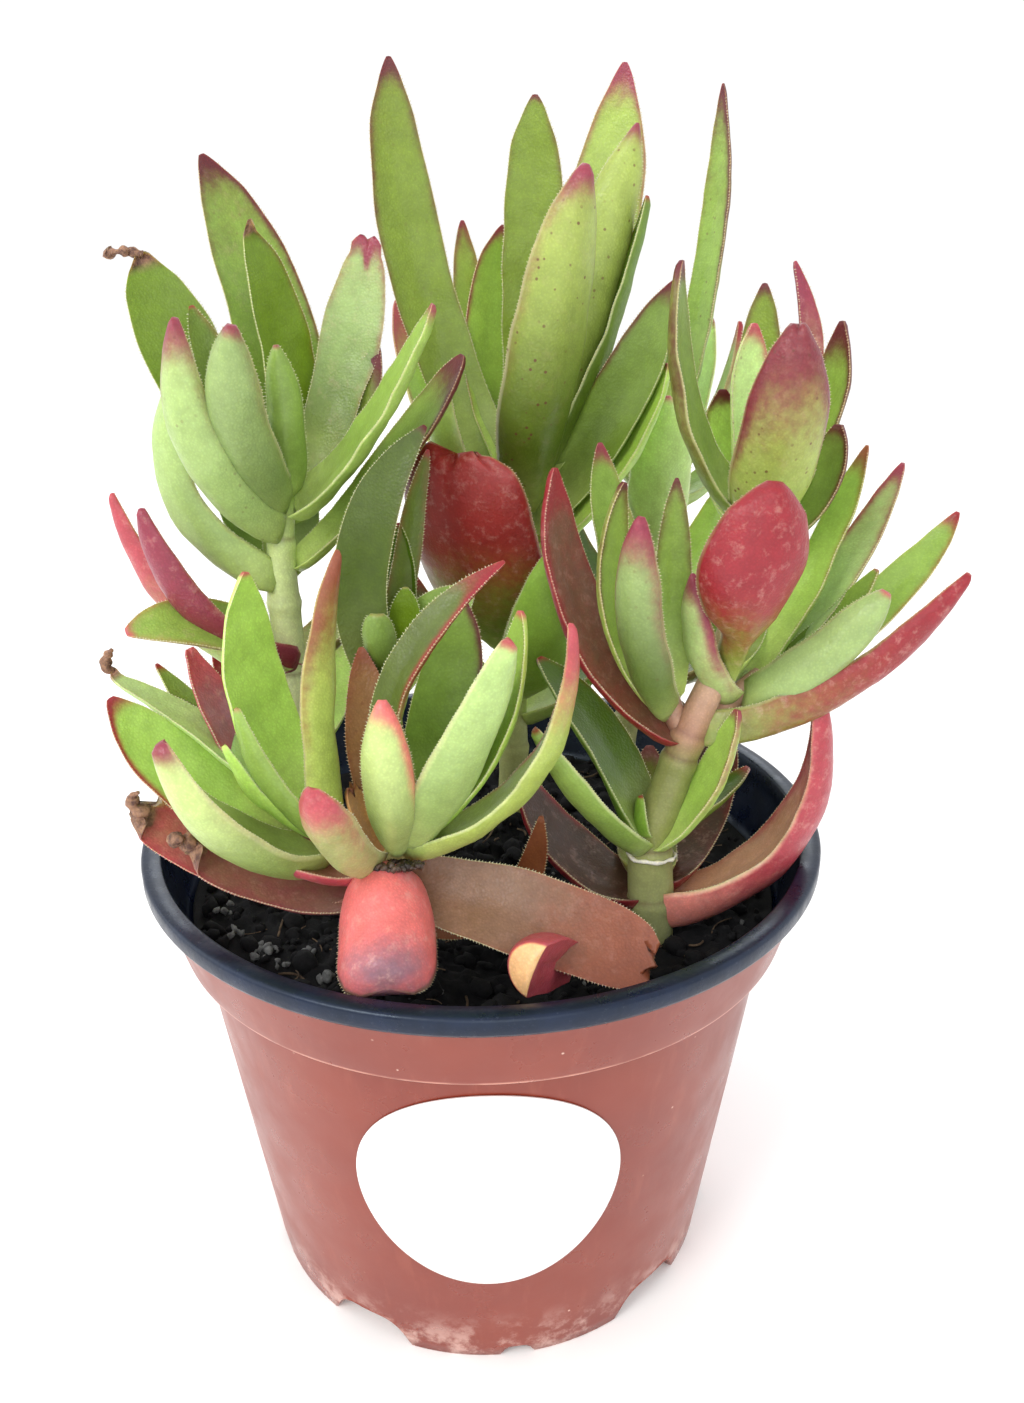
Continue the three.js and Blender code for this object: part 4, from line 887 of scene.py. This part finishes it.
def make_pot(outside, inside):
    """The pot as one closed skin, with the cut-outs of its foot raised in the profile."""
    rim_under = POT_HEIGHT - RIM_DEPTH
    floor_top = FLOOR_Z + FLOOR_THICK
    foot_in = BASE_R - FOOT_RING_WIDTH
    under, ledge = STEP_Z - STEP_RISE, STEP_Z + LEDGE_THICK
    profile = [
        (0.01, 0, 0), (CENTRE_FOOT_R, 0, 0), (CENTRE_FOOT_TOP_R, FLOOR_Z, 0),
        (foot_in, FLOOR_Z, 0), (foot_in + FOOT_RING_TAPER, 0, 0), (BASE_R - 0.3, 0, 0), (BASE_R, 0.3, 0),
        (STEP_R - 0.1, under - 0.8, 0), (STEP_R, under - 0.2, 0), (STEP_R + 0.3, under + 0.05, 0),
        (COLLAR_FOOT_R - 0.3, STEP_Z - 0.02, 0), (COLLAR_FOOT_R - 0.08, STEP_Z + 0.08, 0),
        (COLLAR_FOOT_R, STEP_Z + 0.3, 0), (COLLAR_R - 0.2, rim_under - 0.5, 0),
        (COLLAR_R, rim_under, 1), (RIM_OUTER_R - 0.25, rim_under + 0.1, 1),
        (RIM_OUTER_R, rim_under + RIM_CORNER, 1), (RIM_OUTER_R, POT_HEIGHT - RIM_CORNER, 1),
        (RIM_OUTER_R - 0.2, POT_HEIGHT - 0.15, 1), (RIM_OUTER_R - RIM_CORNER, POT_HEIGHT, 1),
        (RIM_INNER_R + 0.4, POT_HEIGHT, 1), (RIM_INNER_R, POT_HEIGHT - 0.4, 1),
        (COLLAR_R - WALL, rim_under, 1), (COLLAR_FOOT_R - WALL, ledge, 1),
        (STEP_R - WALL, ledge - STEP_RISE, 1), (inner_radius(floor_top), floor_top, 1),
        (CENTRE_FOOT_TOP_R - WALL, floor_top, 1), (CENTRE_FOOT_R - WALL, FLOOR_THICK, 1),
        (0.01, FLOOR_THICK, 1),
    ]
    rows = subdivided(profile, 2.0)
    azimuth = np.linspace(0, 360, POT_COLUMNS, endpoint=False)
    cut = np.array([notch_height(a) for a in azimuth])
    rings = []
    for r, z, kind in rows:
        radius, height = np.full(POT_COLUMNS, r), np.full(POT_COLUMNS, float(z))
        if kind == 0 and r > foot_in - 0.01 and z < under:
            on_wall = r >= BASE_R - 0.31
            height = np.maximum(height, cut) if z <= FLOOR_Z else np.maximum(height, cut * (z < 6))
            if on_wall:
                radius = np.maximum(radius, wall_radius(height) - (0.3 if z == 0 else 0))
        rings.append(ring(radius, np.radians(azimuth), height))
    build = Build()
    build.add(*skin(rings, [0, 0, 0], [0, 0, FLOOR_THICK]))
    build.kinds = np.repeat([row[2] for row in rows[:-1]] + [0, 1], POT_COLUMNS).tolist()
    build.piece("pot_shell", [outside, inside], "pot_plastic", "pot")


def make_label(material):
    """A round sticker that follows the wall."""
    low, high = LABEL_LIFTS
    shares = np.linspace(0.02, 1, LABEL_RINGS)
    profile = [(share, low) for share in shares]
    profile += [(1, high - LABEL_EDGE), (1 - LABEL_EDGE / LABEL_HALF_WIDTH, high)]
    profile += [(share, high) for share in shares[-2::-1]]
    angle = np.linspace(0, 2 * math.pi, LABEL_SIDES, endpoint=False)
    rings = []
    for share, lift in profile:
        z = LABEL_Z + share * LABEL_HALF_HEIGHT * np.sin(angle)
        across = share * LABEL_HALF_WIDTH * np.cos(angle)
        az = math.radians(LABEL_AZ) + across / wall_radius(LABEL_Z)
        rings.append(ring(wall_radius(z) + lift, az, z))
    build = Build()
    build.add(*skin(rings, rings[0].mean(0), rings[-1].mean(0)))
    build.piece("round_label", [material], "label_paper", "label")


# Potting mix


def heap_height(r, angle, edge_r):
    fade = 1 - (r / edge_r) ** 4
    broad = np.sin(HEAP_LOBES * angle + r / HEAP_PITCH) * np.cos(6 * r / HEAP_PITCH)
    fine = np.sin((2 * HEAP_LOBES + 1) * angle - 9 * r / HEAP_PITCH) / 2
    return SOIL_Z + HEAP_HEIGHT * fade * (broad + fine)


def crumb_height(x, y):
    """Height of the crumbly surface over the smooth heap."""
    coarse = noise.fractal(Vector((x / 5.5, y / 5.5, 0.3)), 0.7, 2.1, 4)
    lumps = noise.cell(Vector((x / 1.7, y / 1.7, 5.0)))
    return 1.1 * coarse + 0.5 * lumps


def make_soil(material):
    bottom_z = FLOOR_Z + FLOOR_THICK + SOIL_GAP
    edge_r = COLLAR_FOOT_R - WALL - 2 * SOIL_GAP
    angle = np.linspace(0, 2 * math.pi, SOIL_COLUMNS, endpoint=False)
    rings = []
    for r in np.linspace(0.4, edge_r, SOIL_RINGS):
        x, y = r * np.cos(angle), r * np.sin(angle)
        z = heap_height(r, angle, edge_r)
        z = z + smoothstep(0, EDGE_BAND, edge_r - r) * np.array([crumb_height(a, b) for a, b in zip(x, y)])
        rings.append(ring(r, angle, z))
    for r, z in ((edge_r, STEP_Z + LEDGE_THICK + SOIL_GAP),
                 (inner_radius(STEP_Z) - SOIL_GAP, STEP_Z + SOIL_GAP),
                 (inner_radius(bottom_z) - SOIL_GAP - SOIL_FOOT_IN, bottom_z)):
        rings.append(ring(r, angle, z))
    build = Build()
    build.add(*skin(rings, rings[0].mean(0), rings[-1].mean(0)))
    build.piece("soil", [material], "potting_mix", "potting_mix")


def make_crumbs(materials):
    """Loose crumbs, pale grit and fibres lying on the mix."""
    rng = np.random.default_rng(11)
    edge_r = COLLAR_FOOT_R - WALL - 2 * SOIL_GAP
    build = Build()
    for kind, count, smallest, largest in CRUMBS:
        for k in range(count):
            size = smallest * (largest / smallest) ** rng.uniform() ** 1.5
            r, az = (edge_r - size - 0.5) * math.sqrt(rng.uniform()), rng.uniform(0, 2 * math.pi)
            x, y = r * math.cos(az), r * math.sin(az)
            z = heap_height(r, az, edge_r) + crumb_height(x, y) + 0.25 * size
            lay_stone(build, rng, [x, y, z], size, kind)
    for x, y, size in GRIT:
        z = heap_height(math.hypot(x, y), math.atan2(y, x), edge_r) + crumb_height(x, y) + 0.5 * size
        for _ in range(5):
            spread = rng.uniform(-1, 1, 3) * [size, size, 0.3 * size]
            lay_stone(build, rng, spread + [x, y, z], size * rng.uniform(0.35, 0.7), 1)
    for k in range(FIBRE_COUNT):
        r, az = (edge_r - 4) * math.sqrt(rng.uniform()), rng.uniform(0, 2 * math.pi)
        x, y = r * math.cos(az), r * math.sin(az)
        z = heap_height(r, az, edge_r) + crumb_height(x, y) + 0.5
        length, heading = rng.uniform(2, 7), rng.uniform(0, 2 * math.pi)
        t = np.linspace(-0.5, 0.5, 7)
        bend = rng.uniform(-1, 1) * length
        path = np.stack([
            x + length * t * math.cos(heading) - bend * t * t * math.sin(heading),
            y + length * t * math.sin(heading) + bend * t * t * math.cos(heading),
            z + 0.6 * t * rng.uniform(-1, 1) + 0 * t,
        ], axis=1)
        before = len(build.faces)
        tube(build, path, np.full(7, rng.uniform(0.08, 0.22)), 5)
        build.kinds[before:] = [2] * (len(build.faces) - before)
    build.piece("soil_crumbs", materials, "potting_mix")


# Materials


class Shader:
    """A material's nodes, with one call for each kind that is used."""

    def __init__(self, name):
        self.material = bpy.data.materials.new(name)
        self.material.use_nodes = True
        self.tree = self.material.node_tree
        self.surface = self.tree.nodes["Principled BSDF"]
        self.place = self.add("ShaderNodeTexCoord").outputs["Object"]

    def add(self, kind, settings=None, **inputs):
        node = self.tree.nodes.new(kind)
        for key, value in (settings or {}).items():
            setattr(node, key, value)
        for key, value in inputs.items():
            self.feed(node.inputs[key.replace("_", " ")], value)
        return node

    def feed(self, socket, value):
        if isinstance(value, bpy.types.NodeSocket):
            self.tree.links.new(value, socket)
        else:
            socket.default_value = value

    def attribute(self, name, output="Fac"):
        return self.add("ShaderNodeAttribute", {"attribute_name": name}).outputs[output]

    def noise(self, scale, detail=4.0, roughness=0.55, place=None):
        node = self.add("ShaderNodeTexNoise", Vector=place or self.place, Scale=scale, Detail=detail,
                        Roughness=roughness)
        return node.outputs["Fac"]

    def cells(self, scale, place=None):
        node = self.add("ShaderNodeTexVoronoi", Vector=place or self.place, Scale=scale)
        return node.outputs["Distance"]

    def stretch(self, x, y, z):
        return self.add("ShaderNodeMapping", Vector=self.place, Scale=(x, y, z)).outputs["Vector"]

    def ramp(self, value, low, high, start=0.0, end=1.0):
        node = self.add("ShaderNodeMapRange", {"interpolation_type": "SMOOTHSTEP"}, Value=value)
        for key, number in zip(("From Min", "From Max", "To Min", "To Max"), (low, high, start, end)):
            node.inputs[key].default_value = number
        return node.outputs["Result"]

    def math(self, operation, a, b):
        node = self.add("ShaderNodeMath", {"operation": operation})
        self.feed(node.inputs[0], a)
        self.feed(node.inputs[1], b)
        return node.outputs[0]

    def times(self, a, b):
        return self.math("MULTIPLY", a, b)

    def mix(self, share, a, b, how="MIX"):
        node = self.add("ShaderNodeMix", {"data_type": "RGBA", "blend_type": how})
        self.feed(node.inputs[0], share)
        self.feed(node.inputs[6], a)
        self.feed(node.inputs[7], b)
        return node.outputs[2]

    def mottle(self, dark, light, scale, detail, roughness=0.55, low=0.3, high=0.7):
        """A colour that wanders between two."""
        share = self.ramp(self.noise(scale, detail, roughness), low, high)
        return self.mix(share, tone(dark), tone(light))

    def bump(self, height, strength, distance, normal=None):
        node = self.add("ShaderNodeBump", Height=height, Strength=strength, Distance=distance * MM)
        if normal is not None:
            self.feed(node.inputs["Normal"], normal)
        return node.outputs["Normal"]

    def finish(self, **inputs):
        for key, value in inputs.items():
            self.feed(self.surface.inputs[key.replace("_", " ")], value)
        return self.material


def tone(colour, alpha=1.0):
    return (*linear(colour).tolist(), alpha)


def leaf_material():
    sh = Shader("succulent_leaf")
    red, dry = sh.attribute("red"), sh.attribute("dry")
    broad, fine = sh.noise(190, 5), sh.noise(900, 4, 0.6)
    loose = sh.times(sh.times(red, sh.math("SUBTRACT", 1.0, red)), 4.0)
    wander = sh.math("SUBTRACT", broad, 0.5)
    wander = sh.math("ADD", wander, sh.times(sh.math("SUBTRACT", fine, 0.5), 0.8))
    reddened = sh.math("ADD", red, sh.times(loose, sh.times(wander, 0.6)))
    reddened = sh.ramp(reddened, 0.02, 0.98)
    colour = sh.mix(reddened, sh.attribute("flesh", "Color"), sh.attribute("blush", "Color"))
    shade = sh.ramp(sh.noise(420, 6, 0.65), 0.25, 0.75, 0.88, 1.1)
    shade = sh.times(shade, sh.ramp(sh.cells(2400), 0.1, 0.6, 1.07, 0.95))
    grey = sh.add("ShaderNodeCombineColor", Red=shade, Green=shade, Blue=shade).outputs[0]
    colour = sh.mix(1.0, colour, grey, "MULTIPLY")
    bloom = sh.ramp(sh.noise(520, 9, 0.72), 0.5, 0.68)
    bloom = sh.times(sh.times(bloom, sh.attribute("scurf")), 0.4)
    colour = sh.mix(bloom, colour, tone((224, 178, 164)))
    dots = sh.ramp(sh.cells(620), 0.1, 0.2, 1.0, 0.0)
    dots = sh.times(dots, sh.ramp(sh.noise(160, 2), 0.36, 0.55))
    dots = sh.times(sh.times(dots, sh.attribute("specks")), 0.8)
    colour = sh.mix(dots, colour, tone((104, 52, 44)))
    colour = sh.mix(dry, colour, sh.mottle((84, 56, 48), (160, 122, 98), 700, 6, 0.7, 0.35, 0.65))
    grain = sh.bump(sh.cells(2400), 0.3, 0.14)
    surface = sh.bump(sh.noise(520, 6, 0.6), 0.4, 0.25, grain)
    rough = sh.math("ADD", sh.ramp(sh.noise(350, 4), 0.3, 0.7, 0.31, 0.45), sh.times(dry, 0.3))
    return sh.finish(
        Base_Color=colour, Roughness=rough, Normal=surface, Subsurface_Weight=0.28,
        Subsurface_Radius=(1.0, 0.8, 0.25), Subsurface_Scale=1.4 * MM, Specular_IOR_Level=0.42,
    )


def terracotta_material():
    sh = Shader("terracotta_plastic")
    long_way = sh.stretch(1.0, 1.0, 0.18)
    colour = sh.mottle((124, 41, 22), (134, 50, 29), 45, 5)
    streak = sh.ramp(sh.noise(420, 5, 0.6, long_way), 0.52, 0.75, 0.0, 0.22)
    colour = sh.mix(streak, colour, tone((166, 88, 66)))
    dust = sh.ramp(sh.cells(260), 0.035, 0.07, 1.0, 0.0)
    dust = sh.times(dust, sh.ramp(sh.noise(70, 2), 0.5, 0.62, 0.0, 0.7))
    colour = sh.mix(dust, colour, tone((232, 196, 178)))
    height = sh.add("ShaderNodeSeparateXYZ", Vector=sh.place).outputs["Z"]
    foot = sh.ramp(height, 1 * MM, 13 * MM, 1.0, 0.0)
    scuff = sh.times(foot, sh.ramp(sh.noise(210, 8, 0.7), 0.44, 0.64, 0.0, 0.6))
    colour = sh.mix(scuff, colour, tone((226, 190, 178)))
    # Painted highlight: a lighter band along the edge of the step, where the ledge catches the light
    low, middle, upper, top = ((STEP_Z + rise) * MM for rise in (-0.1, 0.1, 0.2, 0.6))
    step = sh.times(sh.ramp(height, low, middle), sh.ramp(height, upper, top, 1.0, 0.0))
    step = sh.times(step, sh.ramp(sh.noise(160, 4), 0.35, 0.6, 0.25, 0.75))
    colour = sh.mix(step, colour, tone((216, 150, 130)))
    rough = sh.ramp(sh.noise(120, 5), 0.3, 0.7, 0.26, 0.38)
    return sh.finish(
        Base_Color=colour, Roughness=rough, Normal=sh.bump(sh.noise(900, 4), 0.1, 0.1),
        Specular_IOR_Level=0.6, Subsurface_Weight=0.05, Subsurface_Scale=1.0 * MM,
    )


def black_material():
    sh = Shader("black_plastic")
    colour = sh.mottle((5, 12, 34), (12, 22, 48), 160, 6, 0.65, 0.35, 0.7)
    dust = sh.ramp(sh.noise(1300, 6, 0.75), 0.58, 0.72, 0.0, 0.35)
    colour = sh.mix(dust, colour, tone((84, 90, 106)))
    rough = sh.ramp(sh.noise(260, 4), 0.3, 0.7, 0.24, 0.4)
    return sh.finish(
        Base_Color=colour, Roughness=rough, Normal=sh.bump(sh.noise(1100, 6), 0.35, 0.14),
        Specular_Tint=(0.7, 0.84, 1.0, 1.0),
    )


def paper_material():
    sh = Shader("label_paper")
    colour = sh.mottle((246, 246, 246), (252, 252, 252), 60, 3)
    return sh.finish(Base_Color=colour, Roughness=0.42, Normal=sh.bump(sh.noise(1800, 3), 0.06, 0.05))


def soil_material(name, dark, light):
    sh = Shader(name)
    colour = sh.mottle(dark, light, 650, 8, 0.7, 0.35, 0.75)
    surface = sh.bump(sh.noise(1500, 6, 0.7), 0.6, 0.3)
    return sh.finish(Base_Color=colour, Roughness=0.9, Normal=surface, Specular_IOR_Level=0.35)


# Stage


def add_area_light(name, place, target, size, power, colour=(1, 1, 1)):
    data = bpy.data.lights.new(name, "AREA")
    data.shape = "DISK"
    data.size = size
    data.energy = power
    data.color = colour
    light = bpy.data.objects.new(name, data)
    light.location = place
    light.rotation_euler = (Vector(target) - Vector(place)).to_track_quat("-Z", "Y").to_euler()
    bpy.context.scene.collection.objects.link(light)


def make_stage():
    sh = Shader("pale_floor")
    colour = sh.mottle((254, 254, 255), (255, 255, 255), 3, 2)
    floor_material = sh.finish(Base_Color=colour, Roughness=0.7, Specular_IOR_Level=0.1)
    mesh = bpy.data.meshes.new("floor")
    far = FLOOR_HALF
    mesh.from_pydata([(-far, -far, 0), (far, -far, 0), (far, far, 0), (-far, far, 0)], [], [[0, 1, 2, 3]])
    mesh.materials.append(floor_material)
    floor = bpy.data.objects.new("floor", mesh)
    bpy.context.scene.collection.objects.link(floor)
    world = bpy.data.worlds.new("studio")
    world.use_nodes = True
    background = world.node_tree.nodes["Background"]
    background.inputs["Color"].default_value = WORLD_COLOUR
    background.inputs["Strength"].default_value = WORLD_STRENGTH
    bpy.context.scene.world = world
    for row in LIGHTS:
        add_area_light(*row)
    bpy.context.scene.view_settings.view_transform = "Standard"


def make_camera():
    """The camera at the photograph's viewpoint."""
    pitch, yaw, roll = (math.radians(a) for a in (CAMERA_PITCH, CAMERA_YAW, CAMERA_ROLL))
    forward = Vector((math.sin(yaw) * math.cos(pitch), math.cos(yaw) * math.cos(pitch), -math.sin(pitch)))
    level = Vector((math.cos(yaw), -math.sin(yaw), 0))
    upright = level.cross(forward)
    right = math.cos(roll) * level + math.sin(roll) * upright
    up = math.cos(roll) * upright - math.sin(roll) * level
    data = bpy.data.cameras.new("camera")
    data.lens = CAMERA_LENS
    data.sensor_width = CAMERA_SENSOR
    data.clip_start = 0.005
    camera = bpy.data.objects.new("camera", data)
    camera.matrix_world = Matrix((right, up, -forward)).transposed().to_4x4()
    camera.location = Vector(CAMERA_PLACE) * MM
    bpy.context.scene.collection.objects.link(camera)
    bpy.context.scene.camera = camera


make_camera()
make_stage()
make_pot(terracotta_material(), black_material())
make_label(paper_material())
make_soil(soil_material("potting_mix", (3, 4, 8), (16, 16, 20)))
make_crumbs([
    soil_material("soil_crumb", (3, 4, 8), (26, 25, 28)),
    soil_material("pale_grit", (88, 90, 92), (142, 143, 142)),
    soil_material("fibre", (70, 56, 44), (128, 108, 86)),
])
make_plants(leaf_material())
